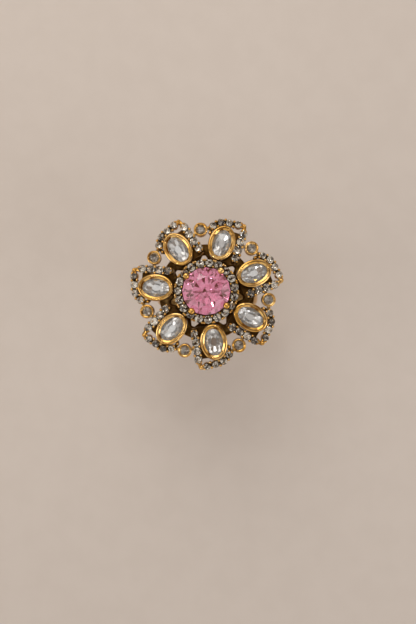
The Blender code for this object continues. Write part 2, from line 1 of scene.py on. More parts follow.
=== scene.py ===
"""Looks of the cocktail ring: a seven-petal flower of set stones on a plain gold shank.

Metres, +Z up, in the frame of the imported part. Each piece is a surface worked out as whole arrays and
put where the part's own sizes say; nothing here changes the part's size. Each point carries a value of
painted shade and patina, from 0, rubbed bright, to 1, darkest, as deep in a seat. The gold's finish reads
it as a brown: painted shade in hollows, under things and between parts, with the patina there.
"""
import math

import bpy
import numpy as np
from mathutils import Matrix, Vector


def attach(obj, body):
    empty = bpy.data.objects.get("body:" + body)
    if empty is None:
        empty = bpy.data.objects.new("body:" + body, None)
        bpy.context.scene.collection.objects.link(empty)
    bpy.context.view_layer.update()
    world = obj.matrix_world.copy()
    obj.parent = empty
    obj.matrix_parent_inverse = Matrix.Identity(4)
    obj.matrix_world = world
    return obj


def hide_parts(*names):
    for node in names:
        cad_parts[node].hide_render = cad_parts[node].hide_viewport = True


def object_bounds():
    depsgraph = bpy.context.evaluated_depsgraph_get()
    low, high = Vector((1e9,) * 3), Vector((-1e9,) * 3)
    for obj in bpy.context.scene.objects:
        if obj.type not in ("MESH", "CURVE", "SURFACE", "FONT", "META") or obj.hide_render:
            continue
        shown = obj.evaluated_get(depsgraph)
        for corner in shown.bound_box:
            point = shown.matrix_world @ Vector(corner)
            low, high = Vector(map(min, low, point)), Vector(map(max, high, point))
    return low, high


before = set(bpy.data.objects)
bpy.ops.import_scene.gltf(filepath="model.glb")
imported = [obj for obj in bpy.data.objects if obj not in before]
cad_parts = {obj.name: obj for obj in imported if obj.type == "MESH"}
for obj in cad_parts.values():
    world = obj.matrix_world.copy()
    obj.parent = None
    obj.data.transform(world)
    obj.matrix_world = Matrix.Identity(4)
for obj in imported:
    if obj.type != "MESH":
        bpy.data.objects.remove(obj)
cad_low, cad_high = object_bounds()

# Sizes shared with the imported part
SEAT_GAP = 0.00008
SOLDER_GAP = 0.00012
NESTLE_GAP = 0.00025
FINGER_RADIUS = 0.0091
BAND_THICKNESS = 0.0016
BAND_WIDTH = 0.0032
SHOULDER_THICKNESS = 0.0019
SHOULDER_WIDTH = 0.0076
CENTRE_RADIUS = 0.0050
CENTRE_CROWN = 0.0016
CENTRE_GIRDLE = 0.0002
CENTRE_PAVILION = 0.0043
CULET_CLEAR = 0.0005
CLAW_COUNT = 4
CLAW_TURN = math.radians(54.0)
CLAW_RADIUS = 0.00042
CLAW_BALL_RADIUS = 0.00080
CLAW_BALL_RISE = 0.00065
BASE_RING_WALL = 0.0008
BASKET_WIRE_RADIUS = 0.00036
MELEE_RADIUS = 0.00075
MELEE_CROWN = 0.00032
MELEE_GIRDLE = 0.00006
MELEE_PAVILION = 0.00062
MELEE_LIFT = 0.00012
RAIL_EDGE = 0.00005
HALO_GAP = 0.00013
HALO_DROP = 0.0012
HALO_DEPTH = 0.0017
HALO_COUNT = 19
HALO_TURN = math.radians(8.5)
PETAL_COUNT = 7
PETAL_TURN = math.radians(175.67)
PETAL_TILT = math.radians(12.0)
PETAL_DROP = 0.0012
PETAL_STONE_HALF = (0.0030, 0.0020)
PETAL_CROWN = 0.00062
PETAL_GIRDLE = 0.0001
PETAL_PAVILION = 0.0009
PETAL_WALL = 0.00082
PETAL_LIP = 0.00012
PETAL_RIM = 0.00085
PETAL_DEPTH = 0.0017
PETAL_BACK = 0.00045
ACCENT_RADIUS = 0.0010
ACCENT_CROWN = 0.0004
ACCENT_GIRDLE = 0.00008
ACCENT_PAVILION = 0.0008
ACCENT_WALL = 0.00047
ACCENT_LIP = 0.00006
ACCENT_RIM = 0.0006
ACCENT_DEPTH = 0.0015
ACCENT_BACK = 0.0004
ACCENT_DROP = 0.0005
ACCENT_REACH = 0.0025
LEAF_TOP = 0.0001
LEAF_DEPTH = 0.0014
LEAF_PITCH = 0.00186
LEAF_ARC_STONES = 4
LEAF_STRIP_STONES = 4
LEAF_FLARE = 0.00045
LEAF_TIP_RISE = 0.0003
ARC_SETBACK = 0.0013
STRIP_SETBACK = 0.0019
TIP_BEAD_RADIUS = 0.00048
ROOT_WIDTH = 0.0009
HUB_WALL = 0.0009
HUB_RADIUS = 0.0034
HUB_HEIGHT = 0.0010
RIB_WIDTH = 0.0011
RIB_THICKNESS = 0.0010
RIB_REACH = 0.0026
BRACE_REACH = 0.0015
BRACE_WIDTH = 0.0017
BRACE_THICKNESS = 0.0008

# Sizes worked out from those
SHANK_TOP = FINGER_RADIUS + SHOULDER_THICKNESS
CENTRE_Z = SHANK_TOP + CULET_CLEAR + CENTRE_PAVILION
RAIL_HALF = MELEE_RADIUS + RAIL_EDGE
HALO_RADIUS = CENTRE_RADIUS + HALO_GAP + RAIL_HALF
HALO_OUTER = HALO_RADIUS + RAIL_HALF
HALO_TOP = CENTRE_Z - HALO_DROP
PETAL_HALF_LENGTH = PETAL_STONE_HALF[0] + PETAL_WALL
PETAL_HALF_WIDTH = PETAL_STONE_HALF[1] + PETAL_WALL
PETAL_RADIUS = HALO_OUTER + SOLDER_GAP + PETAL_HALF_LENGTH * math.cos(PETAL_TILT)
PETAL_Z = HALO_TOP - PETAL_DROP
PETAL_STEP = 2 * math.pi / PETAL_COUNT
ACCENT_HALF = ACCENT_RADIUS + ACCENT_WALL
ARC_REACH = PETAL_HALF_LENGTH + SOLDER_GAP + RAIL_HALF
STRIP_Y = -(PETAL_HALF_WIDTH + SOLDER_GAP + RAIL_HALF)
HUB_BORE = HUB_RADIUS - HUB_WALL
HUB_TOP = SHANK_TOP + HUB_HEIGHT
BRACE_RADIUS = HALO_OUTER + BRACE_REACH
BASE_RING_OUTER = HUB_BORE - SOLDER_GAP
BASE_RING_TOP = HUB_TOP + SOLDER_GAP + CLAW_RADIUS
CLAW_FOOT = np.array([BASE_RING_OUTER - BASE_RING_WALL / 2, BASE_RING_TOP])
CLAW_ELBOW = np.array([CENTRE_RADIUS + SEAT_GAP + CLAW_RADIUS, CENTRE_Z])

# Finer sizes that only the looks need
BRACE_TUCK = 0.00045
BRACE_LAP = 0.00100
WINDOW_TOP = 0.0077
WINDOW_PEAK = 0.0081
WINDOW_SLOPE = 0.0110
WINDOW_TURN = math.radians(21.5)
LIP_CLEAR = 0.00004
LIP_THICKNESS = 0.00005
RAIL_NECK = 0.00050
RAIL_WALL = 0.00013
CHANNEL_FLOOR = 0.00062
GRAIN_RADIUS = 0.00030
GRAIN_ROOT = 0.0009
GRAIN_OFFSET = 0.00064
OUTER_GRAIN_OFFSET = 0.00049
END_GRAIN_SHARE = 0.62
END_GRAIN_GAP = 0.8 * MELEE_RADIUS
HALO_GRAIN_RADIUS = 0.00026
HALO_GRAIN_OFFSET = 0.00068
HALO_GRAIN_APART = 0.00020
SEAT_INNER = 0.0045
SEAT_DROP = 0.0007
SEAT_FOOT = 1.3 * SEAT_DROP
PAVE_RADIUS = 0.00085
WEB_TOP = -0.0008
WEB_THICKNESS = 0.0003
STRIP_WEB_SPAN = (-0.0034, 0.0034)
ARC_WEB_SPAN = (-9.0, 50.0)
ROOT_SHORT = 0.0011
ROOT_DEPTH = 0.6 * LEAF_DEPTH
LINK_HALF = 0.4 * ROOT_WIDTH
LINK_TOP = LEAF_TOP - 0.35 * LEAF_DEPTH
LINK_DEPTH = 0.5 * LEAF_DEPTH
TIP_STRUT_TOP = LEAF_TOP - 0.15 * LEAF_DEPTH
TIP_STRUT_DEPTH = 0.8 * LEAF_DEPTH
TIP_PRONG = (0.75 * TIP_BEAD_RADIUS, 0.62 * TIP_BEAD_RADIUS, 1.5 * TIP_BEAD_RADIUS)
END_BEAD_SPOT = np.array([0.00150, 0.00302])
END_BEAD_TIE = np.array([0.0, 0.00044])
END_BEAD_RAIL = np.array([0.0, 0.2 * RAIL_HALF])
STRUT_LAP = 0.05
RAIL_LAP = 0.9 * RAIL_HALF

# Shares and spans of the profiles, in degrees where they turn
CORNER_CUT = 0.25
SHANK_SIDE = np.array([(0.80, 0.0), (1.0, 0.25), (1.0, 0.70), (0.75, 0.93), (0.40, 1.0)])
SHOULDER_START = 0.55
SHOULDER_FADE = 0.25
OUTSIDE_GAIN = 3.0
OUTSIDE_START = 0.6
HUB_CREST = 0.3
HUB_BEND = 0.7
RIB_TAPER = 0.7
RIB_TIP = 0.6
WIRE_CLIMB = 0.55
BALL_INSET = 0.65
BALL_SPAN = (-52.0, 86.0)
BALL_SHADE = 1.6
BALL_SHADE_FALL = 1.8
PRONG_CROWN = 0.98
PRONG_TAPER = 0.2
SHADE_LINE = 0.3
TERRACE_SHARE = 0.66
ARC_SPAN = (-6.0, 90.0)
CAP_SPAN = (7.5, 82.5)

# A bead's rings above its post: radius and height as shares of its radius, and painted shade and patina,
# darker at the foot
BEAD_POST = 0.72
BEAD_ROWS = np.array([
    (0.76, -0.30, 0.8),
    (1.00, 0.08, 0.2),
    (0.95, 0.50, 0.0),
    (0.74, 0.86, 0.0),
    (0.42, 1.08, 0.0),
    (0.12, 1.16, 0.0),
])

# Cuts of the stones as shares of the outline: table, stars, lower tips and culet
CENTRE_CUT = (0.58, 0.80, 0.24, 0.05)
MELEE_CUT = (0.56, 0.78, 0.24, 0.05)
ACCENT_CUT = (0.58, 0.78, 0.24, 0.05)
OVAL_CUT = (0.66, 0.84, 0.62, 0.32)
ROUND_FOLD = 8
OVAL_FOLD = 12

# Points round and along each form
BRACE_SIDES = 420
SHANK_SIDES = 180
WIDE_SIDES = 120
ROUND_SIDES = 96
SMALL_SIDES = 72
BRACE_SECTION_SIDES = 24
BAR_SIDES = 20
STRUT_STEPS = 5
WIRE_SIDES = 14
CLAW_SIDES = 24
STEM_STEPS = 8
BALL_STEPS = 22
BEAD_SIDES = 10
PRONG_STEPS = 12
SCALLOP_STEPS = 24
ARC_STEPS = 33
CAP_STEPS = 11
WEB_STEPS = 30

# Roundness of the bars' sections, from 1 for an oval towards 0 for a square
STRUT_SQUARE = 0.5
RIB_SQUARE = 0.6
BRACE_SQUARE = 0.8

# Painted shade and patina of plain parts of the metal. The brace's top and edges are painted a little
# lighter, as rubbed metal and as edge highlights
BACK_TONE = 0.3
SIDE_TONE = 0.9
HUB_TONE = 0.7
BASE_RING_TONE = 0.6
WIRE_TONE = 0.55
STEM_TONE = 0.5
TIP_STRUT_TONE = 0.4
LINK_TONE = 0.5
ROOT_TONE = 0.8
SHOULDER_TONE = 0.75
PETAL_TERRACE_TONE = 0.0
ACCENT_TERRACE_TONE = 0.35
BRACE_TOP_RUB_AND_LIGHT = 0.18
BRACE_EDGE_RUB_AND_LIGHT = 0.55

# Colours
GOLD_DEEP = (0.58, 0.310, 0.064, 1.0)
GOLD_BRIGHT = (0.77, 0.495, 0.190, 1.0)
GOLD_PATINA_AND_SHADE = (0.062, 0.029, 0.007, 1.0)
CRYSTAL_TINTS = (0.97, 0.99, 1.00, 1.0), (0.93, 0.94, 0.95, 1.0)
PINK_TINTS = (1.00, 0.71, 0.79, 1.0), (0.98, 0.63, 0.72, 1.0)
CRYSTAL_FOIL_TINTS = (1.00, 0.99, 0.98, 1.0), (0.93, 0.91, 0.89, 1.0)
# The second tints of the small stones' and the accents' foils are dark: painted dark reflections in patches
SMALL_FOIL_TINTS = (1.00, 0.95, 0.87, 1.0), (0.07, 0.042, 0.020, 1.0)
ACCENT_FOIL_TINTS = (1.00, 0.95, 0.88, 1.0), (0.34, 0.25, 0.17, 1.0)
PINK_FOIL_TINTS = (1.00, 0.75, 0.85, 1.0), (0.94, 0.60, 0.71, 1.0)
FLOOR_TINTS = (0.612, 0.542, 0.487, 1.0), (0.628, 0.558, 0.503, 1.0)
SKY_LOW = (1.0, 0.96, 0.91, 1.0)
SKY_TOP = (0.74, 0.72, 0.70, 1.0)
ROOM_SHADE = (0.15, 0.072, 0.018, 1.0)
ROOM_OPEN = (1.0, 1.0, 1.0, 1.0)
WARM_WHITE = (1.0, 0.96, 0.91)
COOL_WHITE = (0.93, 0.96, 1.0)

# Finishes: noises as scale and detail, and edges as the low and high ends of a smooth step
NOISE_MIDDLE = 0.5
GOLD_WEAR = (900.0, 4.0)
GOLD_GRAIN = (5200.0, 2.0)
GOLD_DRIFT = (260.0, 2.0)
WEAR_FLAT = 0.25
WEAR_DEEP = 0.85
PATINA_AND_SHADE_EDGES = (0.25, 0.90)
DRIFT_EDGES = (0.3, 0.7)
GOLD_ROUGHNESS = 0.07
GRAIN_ROUGHNESS = 0.07
PATINA_AND_SHADE_ROUGHNESS = 0.28
GRAIN_STRENGTH = 0.02
GRAIN_HEIGHT = 0.00002
GLASS_INDEX = 1.75
GLASS_VEIL = (620.0, 4.0)
GLASS_FILM = (2600.0, 2.0)
VEIL_EDGES = (0.35, 0.75)
FILM_EDGES = (0.5, 0.8)
GLASS_ROUGHNESS = 0.005
FILM_ROUGHNESS = 0.03
FOIL_DETAIL = 3.0
FOIL_MIDDLE = 0.53
FOIL_ROUGHNESS = 0.01
SPARKLE_EDGES = (0.4, 0.8)
SPARKLE_ROUGHNESS = 0.05
FLOOR_MOTTLE = (180.0, 5.0)
FLOOR_ROUGHNESS = 0.75
MOTTLE_ROUGHNESS = 0.2
SKY_EDGES = (0.40, 0.92)
ROOM_PATCHES = (2.2, 1.0)
PATCH_EDGES = (0.42, 0.56)
SHARP_ANGLE = math.radians(38.0)

# The stage: the floor's size, and each lamp's name, place, size, power and colour
FLOOR_RADIUS = 4.0
LAMPS = (
    ("key", (-0.05, 0.22, 0.20), 0.22, 0.27, WARM_WHITE),
    ("fill", (0.22, -0.10, 0.14), 0.12, 0.10, COOL_WHITE),
    ("side", (-0.24, -0.04, 0.12), 0.10, 0.08, WARM_WHITE),
    ("spark_left", (-0.119, -0.047, 0.24), 0.02, 0.03, COOL_WHITE),
    ("spark_right", (0.07, 0.10, 0.26), 0.02, 0.03, WARM_WHITE),
)

# The camera, fitted to the picture's frame of 416 by 624
IMAGE_HEIGHT = 624
CAMERA_DISTANCE = 0.450
CAMERA_ELEVATION = math.radians(86.97)
CAMERA_AZIMUTH = math.radians(15.4)
CAMERA_ROLL = math.radians(-15.19)
CAMERA_NEAR = 0.01
FOCAL_PIXELS = 2163.0
SENSOR = 36.0
CENTRE_PIXEL_OFFSET = (-1.65, 20.88)


# Forms

class Form:
    """Points, faces as arrays of equal corner counts, and each point's painted shade and patina."""

    def __init__(self, points, faces, patina_and_shade=0.0, faces_back=()):
        self.points = np.asarray(points, float)
        self.faces = [np.asarray(block, int) for block in faces]
        self.back = [np.asarray(block, int) for block in faces_back]
        self.patina_and_shade = np.broadcast_to(np.asarray(patina_and_shade, float), (len(self.points),)).copy()
        if self.volume() < 0:
            self.faces = [block[:, ::-1] for block in self.faces]
            self.back = [block[:, ::-1] for block in self.back]

    def volume(self):
        """Six times the signed volume: the sum of the triple products of each face's fan of triangles."""
        total = 0.0
        for block in self.faces + self.back:
            corners = self.points[block]
            first = corners[:, :1]
            triple = np.cross(corners[:, 1:-1] - first, corners[:, 2:] - first) * first
            total += triple.sum()
        return total

    def placed(self, matrices):
        """The form at each of a stack of places, as one form: the points turned and then moved."""
        stack = np.asarray(matrices, float).reshape(-1, 4, 4)
        turned_points = np.einsum("kij,nj->kni", stack[:, :3, :3], self.points) + stack[:, None, :3, 3]
        starts = len(self.points) * np.arange(len(stack))

        def copies(block):
            return (block[None] + starts[:, None, None]).reshape(-1, block.shape[1])

        return Form(turned_points.reshape(-1, 3), [copies(block) for block in self.faces],
                    np.tile(self.patina_and_shade, len(stack)), [copies(block) for block in self.back])


def gathered(forms):
    """Several closed forms as one, in the order given."""
    starts = np.cumsum([0] + [len(part.points) for part in forms])
    points = np.concatenate([part.points for part in forms])
    patina_and_shade = np.concatenate([part.patina_and_shade for part in forms])
    faces = [block + start for part, start in zip(forms, starts) for block in part.faces]
    back = [block + start for part, start in zip(forms, starts) for block in part.back]
    return Form(points, faces, patina_and_shade, back)


def flat_cap(loop):
    """Faces across a loop whose two sides run in step: a corner, one side, a corner, the other side back."""
    half = len(loop) // 2
    left, right = loop[1:half], loop[:half:-1]
    corners = np.array([(loop[0], left[0], right[0]), (left[-1], loop[half], right[-1])])
    return [np.stack([left[:-1], left[1:], right[1:], right[:-1]], axis=1), corners]


def shell(grid, patina_and_shade=0.0, ring=False, flat_ends=False):
    """Closed skin over a grid of points whose columns go round.

    Rows follow one another; the last joins the first where ring is set, and otherwise each end row is
    closed, by a flat cap or by a fan to the row's mean point. Painted shade and patina may be given by
    row or column.
    """
    rows, columns = grid.shape[:2]
    tones = np.broadcast_to(np.asarray(patina_and_shade, float), (rows, columns))
    row = np.arange(rows if ring else rows - 1)[:, None]
    column = np.arange(columns)[None]
    after_row, after_column = (row + 1) % rows, (column + 1) % columns
    corners = np.broadcast_arrays(row * columns + column, row * columns + after_column,
                                  after_row * columns + after_column, after_row * columns + column)
    faces = [np.stack(corners, axis=-1).reshape(-1, 4)]
    points, tone = grid.reshape(-1, 3), tones.reshape(-1)
    if ring:
        return Form(points, faces, tone)
    first, last = np.arange(columns), (rows - 1) * columns + np.arange(columns)
    if flat_ends:
        return Form(points, faces + flat_cap(np.roll(first[::-1], 1)) + flat_cap(last), tone)
    poles = np.stack([grid[0].mean(axis=0), grid[-1].mean(axis=0)])
    near, far = len(points), len(points) + 1
    fan_near = np.stack([np.roll(first, -1), first, np.full(columns, near)], axis=-1)
    fan_far = np.stack([last, np.roll(last, -1), np.full(columns, far)], axis=-1)
    ends = np.array([tones[0].mean(), tones[-1].mean()])
    return Form(np.vstack([points, poles]), faces + [fan_near, fan_far], np.concatenate([tone, ends]))


def round_angles(count):
    """Even angles once round, from 0."""
    return 2 * np.pi * np.arange(count) / count


def unit(vectors):
    """Each vector divided by its length."""
    return vectors / np.linalg.norm(vectors, axis=-1, keepdims=True)


def oval_points(length, width, angle):
    """Points of the plan on ovals: a half length times the cosine and a half width times the sine."""
    return np.stack([length * np.cos(angle), width * np.sin(angle)], axis=-1)


def at_height(plan, height):
    """A row of plan points, all at one height."""
    return np.column_stack([plan, np.full(len(plan), height)])


def squared(wave, power):
    """A sine or cosine raised to a power with its sign kept, for a section with soft corners."""
    return np.sign(wave) * np.abs(wave) ** power


def softened(profile, rounds=2, closed=False):
    """Corner cutting: each side of the profile is kept from a quarter to three quarters of its length."""
    line = np.asarray(profile, float)
    keep = 1 - CORNER_CUT
    for _ in range(rounds):
        ahead = np.roll(line, -1, axis=0) if closed else line[1:]
        here = line if closed else line[:-1]
        cut = np.stack([keep * here + CORNER_CUT * ahead, CORNER_CUT * here + keep * ahead], axis=1)
        cut = cut.reshape(-1, line.shape[1])
        line = cut if closed else np.vstack([line[:1], cut, line[-1:]])
    return line


def lifted(plan, height):
    """Grid of points from a grid of plan points and the heights of its rows or columns."""
    return np.concatenate([plan, np.broadcast_to(height, (*plan.shape[:2], 1))], axis=-1)


def turned(profile, sides, patina_and_shade=0.0, ring=True):
    """A profile of radius and height carried round Z."""
    angle = round_angles(sides)
    radius, height = profile[:, :1], profile[:, 1:2]
    plan = oval_points(radius, radius, angle)
    return shell(lifted(plan, height[:, None]), np.reshape(patina_and_shade, (-1, 1)), ring=ring)


def swept(path, radii, sides, patina_and_shade=0.0):
    """A round wire of changing radius along a path of points, each circle square to the path."""
    along = unit(np.gradient(path, axis=0))
    across = unit(np.cross(along, (0.0, 1.0, 0.0)))
    third = np.cross(along, across)
    angle = round_angles(sides)[:, None]
    spread = across[:, None] * np.cos(angle) + third[:, None] * np.sin(angle)
    grid = path[:, None] + np.asarray(radii)[:, None, None] * spread
    return shell(grid, np.reshape(patina_and_shade, (-1, 1)))


# Places

def turn_z(angle):
    """Turn about Z, for one angle or an array of them."""
    angle = np.atleast_1d(angle)
    matrix = np.tile(np.eye(4), (len(angle), 1, 1))
    matrix[:, 0, 0] = matrix[:, 1, 1] = np.cos(angle)
    matrix[:, 1, 0] = np.sin(angle)
    matrix[:, 0, 1] = -np.sin(angle)
    return matrix


def tilt_y(angle):
    """Turn about Y, which drops the +X side for an angle above 0."""
    matrix = np.eye(4)
    matrix[0, 0] = matrix[2, 2] = math.cos(angle)
    matrix[0, 2] = math.sin(angle)
    matrix[2, 0] = -math.sin(angle)
    return matrix


def shift(points):
    """Move by each row of an array of points."""
    points = np.atleast_2d(points)
    matrix = np.tile(np.eye(4), (len(points), 1, 1))
    matrix[:, :3, 3] = points
    return matrix


def leaning_place(turn, radius, height):
    """Out along a turn about Z, up to a height, and leaning outwards as the petals do."""
    return turn_z(turn)[0] @ shift([radius, 0.0, height])[0] @ tilt_y(PETAL_TILT)


def petal_place(k):
    """Middle of a petal's girdle, with X pointing out from the flower."""
    return leaning_place(PETAL_TURN - k * PETAL_STEP, PETAL_RADIUS, PETAL_Z)


def accent_place(k):
    """Against the outer side of a leaf's strip, out past the petals' middles."""
    sideways = STRIP_Y - RAIL_HALF - NESTLE_GAP - ACCENT_HALF
    radius = PETAL_RADIUS + ACCENT_REACH
    turn = PETAL_TURN - k * PETAL_STEP + math.asin(sideways / radius)
    return leaning_place(turn, radius, PETAL_Z - ACCENT_DROP)


# Stones

def brilliant(half, heights, cut, fold=ROUND_FOLD):
    """Brilliant cut of an oval outline with its girdle's foot at height 0.

    Rings of points at shares of the outline: table, stars half a step on, both edges of the girdle, the
    tips of the lower halves and the culet. A star's height keeps each kite flat, and the heights of a
    lower tip and of the culet keep each main flat. Faces under the girdle are the backed ones.
    """
    crown, girdle, pavilion = heights
    table_share, star_share, lower_share, culet_share = cut
    step = np.pi / fold
    whole, between = 2 * step * np.arange(fold), 2 * step * np.arange(fold) + step
    every = step * np.arange(2 * fold)
    star_height = girdle + crown * (1 - star_share * math.cos(step)) / (1 - table_share)
    lower_height = -pavilion * (1 - lower_share * math.cos(step))
    culet_height = -pavilion * (1 - culet_share * math.cos(step))
    rings = (
        (table_share, whole, girdle + crown),
        (star_share, between, star_height),
        (1.0, every, girdle),
        (1.0, every, 0.0),
        (lower_share, between, lower_height),
        (culet_share, between, culet_height),
    )
    share = np.concatenate([np.full(len(angle), part) for part, angle, _ in rings])
    turn = np.concatenate([angle for _, angle, _ in rings])
    height = np.concatenate([np.full(len(angle), level) for _, angle, level in rings])
    points = np.stack([share * half[0] * np.cos(turn), share * half[1] * np.sin(turn), height], axis=1)
    top, star = np.arange(fold), fold + np.arange(fold)
    edge, foot = 2 * fold + np.arange(2 * fold), 4 * fold + np.arange(2 * fold)
    lower, culet = 6 * fold + np.arange(fold), 7 * fold + np.arange(fold)
    ahead = np.roll(np.arange(fold), -1)
    here, middle, there = 2 * np.arange(fold), 2 * np.arange(fold) + 1, 2 * ahead
    crowns = [
        top[None],
        np.stack([top, star, top[ahead]], axis=1),
        np.stack([top[ahead], star, edge[there], star[ahead]], axis=1),
        np.stack([star, edge[here], edge[middle]], axis=1),
        np.stack([star, edge[middle], edge[there]], axis=1),
        np.stack([edge, foot, np.roll(foot, -1), np.roll(edge, -1)], axis=1),
    ]
    pavilions = [
        np.stack([foot[middle], foot[here], lower], axis=1),
        np.stack([foot[there], foot[middle], lower], axis=1),
        np.stack([culet, culet[ahead], lower[ahead], foot[there], lower], axis=1),
        culet[None, ::-1],
    ]
    return Form(points, crowns, 0.0, pavilions)


def round_stone(radius, heights, cut):
    """Brilliant cut of a round outline."""
    return brilliant((radius, radius), heights, cut)


def melee_form(radius):
    """Small round stone of the halo and the leaves."""
    return round_stone(radius, (MELEE_CROWN, MELEE_GIRDLE, MELEE_PAVILION), MELEE_CUT)


# Metal forms

def bead(radius, root):
    """Round grain of metal on a short post: a profile of radius and height turned about its axis."""
    rows = np.vstack([(BEAD_POST, -root / radius, 1.0), BEAD_ROWS])
    return turned(radius * rows[:, :2], BEAD_SIDES, rows[:, 2], ring=False)


def prong(width, ahead, behind, root):
    """Egg-shaped tip that points along +X: circles of a dome, stretched by its own length each way."""
    rise = np.linspace(-1.0, PRONG_CROWN, PRONG_STEPS)
    waist = np.where(rise < 0, 1.0 + PRONG_TAPER * rise, np.sqrt(1 - rise ** 2))[:, None]
    height = np.where(rise < 0, rise * root, rise * width)
    angle = round_angles(BAR_SIDES)
    stretch = np.where(np.cos(angle) > 0, ahead, behind)
    plan = oval_points(waist * stretch, waist * width, angle)
    # Painted shade and patina on the root below the dome
    tone = np.clip(-2 * rise, 0.0, 1.0)
    return shell(lifted(plan, height[:, None, None]), tone[:, None])


def strut(start, end, half_width, top, depth, tone):
    """Bar with a softened square section between two points of the plan, and a given painted shade on top.
    """
    along = unit(end - start)
    angle = round_angles(BAR_SIDES)
    across = half_width * squared(np.cos(angle), STRUT_SQUARE)
    height = top - depth / 2 + depth / 2 * squared(np.sin(angle), STRUT_SQUARE)
    share = np.linspace(0.0, 1.0, STRUT_STEPS)[:, None, None]
    plan = start + share * (end - start) + across[:, None] * np.array([-along[1], along[0]])
    levels = (top - depth, top - SHADE_LINE * depth, top)
    # Painted shade and patina: the given value on top, darker sides and a lighter underside
    tones = np.interp(height, levels, (BACK_TONE, SIDE_TONE, tone))
    return shell(lifted(plan, height[:, None]), tones)


def shank_form():
    """Band section, flat inside and domed outside, carried round the finger and growing to the shoulders."""
    section = softened(np.vstack([SHANK_SIDE, SHANK_SIDE[::-1] * (-1.0, 1.0)]), 3, closed=True)
    angle = round_angles(SHANK_SIDES)
    rise = (1 - np.cos(angle)) / 2
    half_width = (BAND_WIDTH + (SHOULDER_WIDTH - BAND_WIDTH) * rise ** 2) / 2
    thickness = BAND_THICKNESS + (SHOULDER_THICKNESS - BAND_THICKNESS) * rise
    radius = FINGER_RADIUS + thickness[:, None] * section[:, 1]
    grid = np.stack([radius * np.sin(angle)[:, None], half_width[:, None] * section[:, 0],
                     -radius * np.cos(angle)[:, None]], axis=-1)
    # The outside of the shoulders, under the flower, gets painted shade and patina
    under = SHOULDER_TONE * np.clip((rise - SHOULDER_START) / SHOULDER_FADE, 0.0, 1.0)
    outside = np.clip(OUTSIDE_GAIN * section[:, 1] - OUTSIDE_START, 0.0, 1.0)
    return shell(grid, under[:, None] * outside, ring=True)


def hub_form():
    """Collar wall turned about Z whose foot follows the round of the shank below it."""
    crest = HUB_CREST * HUB_WALL
    profile = np.array([
        (HUB_RADIUS, 0.0), (HUB_RADIUS, HUB_BEND), (HUB_RADIUS - crest, 1.0),
        (HUB_BORE + crest, 1.0), (HUB_BORE, HUB_BEND), (HUB_BORE, 0.0),
    ])
    angle = round_angles(ROUND_SIDES)
    x, y = profile[:, :1] * np.cos(angle), profile[:, :1] * np.sin(angle)
    foot = np.sqrt((SHANK_TOP + SOLDER_GAP) ** 2 - x ** 2)
    grid = np.stack([x, y, foot + (HUB_TOP - foot) * profile[:, 1:]], axis=-1)
    return shell(grid, HUB_TONE, ring=True)


def rib_line():
    """Middle line of a rib as radius and height: out from the hub's wall, then under the back of a petal."""
    lean = np.array([math.cos(PETAL_TILT), -math.sin(PETAL_TILT)])
    square = np.array([math.sin(PETAL_TILT), math.cos(PETAL_TILT)])
    under = -(PETAL_DEPTH + SOLDER_GAP + RIB_THICKNESS / 2) * square
    middle = np.array([PETAL_RADIUS, PETAL_Z]) + under
    root = np.array([HUB_RADIUS - HUB_WALL / 2, HUB_TOP - RIB_THICKNESS / 2 - SOLDER_GAP])
    bend = np.array([HUB_RADIUS + RIB_THICKNESS / 2, root[1]])
    return np.array([root, bend, middle - PETAL_HALF_LENGTH * lean, middle + RIB_REACH * lean])


def rib_form():
    """Flat bar with rounded edges along a rib's middle line, towards +X."""
    line = softened(rib_line())
    taper = np.interp(np.linspace(0, 1, len(line)), (0.0, RIB_TAPER, 1.0), (1.0, 1.0, RIB_TIP))
    along = unit(np.gradient(line, axis=0))
    normal = np.stack([-along[:, 1], along[:, 0]], axis=1)
    angle = round_angles(BAR_SIDES)
    across = RIB_WIDTH / 2 * squared(np.cos(angle), RIB_SQUARE)
    up = RIB_THICKNESS / 2 * squared(np.sin(angle), RIB_SQUARE)
    grid = np.stack([line[:, :1] + normal[:, :1] * up, taper[:, None] * across,
                     line[:, 1:] + normal[:, 1:] * up], axis=-1)
    # Painted shade and patina: dark on the top and sides under the petals, lighter underneath
    return shell(grid, np.where(up < 0, BACK_TONE, SIDE_TONE))


def brace_form():
    """Flat ring with a domed section where it crosses the ribs' middle lines.

    The inner edge lies under the halo. In each gap between two petals it steps out to a flat-topped
    notch, which leaves a window beside the halo. It is painted dark brown as shade under the flower and
    patina, less so underneath, and its top and both edges are painted a little lighter, as rubbed metal and
    as edge highlights.
    """
    line = rib_line()
    middle = np.interp(BRACE_RADIUS, line[:, 0], line[:, 1])
    turn = round_angles(BRACE_SIDES)
    from_petal = (turn - PETAL_TURN) % PETAL_STEP
    slopes = WINDOW_PEAK - WINDOW_SLOPE * np.abs(from_petal - WINDOW_TURN)
    inner = np.maximum(HALO_OUTER - BRACE_TUCK, np.minimum(WINDOW_TOP, slopes))
    half = (BRACE_RADIUS + BRACE_WIDTH / 2 + BRACE_LAP - inner) / 2
    angle = round_angles(BRACE_SECTION_SIDES)[:, None]
    across = squared(np.cos(angle), BRACE_SQUARE)
    up = squared(np.sin(angle), BRACE_SQUARE)
    radius = inner + half + half * across
    plan = oval_points(radius, radius, turn)
    height = middle + BRACE_THICKNESS / 2 * up
    # Painted shade and patina, a little lighter on the top and both edges as rubbed metal and edge
    # highlights
    rubbed_and_lit = np.maximum(BRACE_TOP_RUB_AND_LIGHT * np.maximum(up, 0.0) ** 3, BRACE_EDGE_RUB_AND_LIGHT * np.abs(across) ** 8)
    tone = np.minimum(1.0 - rubbed_and_lit, BACK_TONE + (1 - BACK_TONE) * (1 + up))
    return shell(lifted(plan, height[:, None]), tone, ring=True)


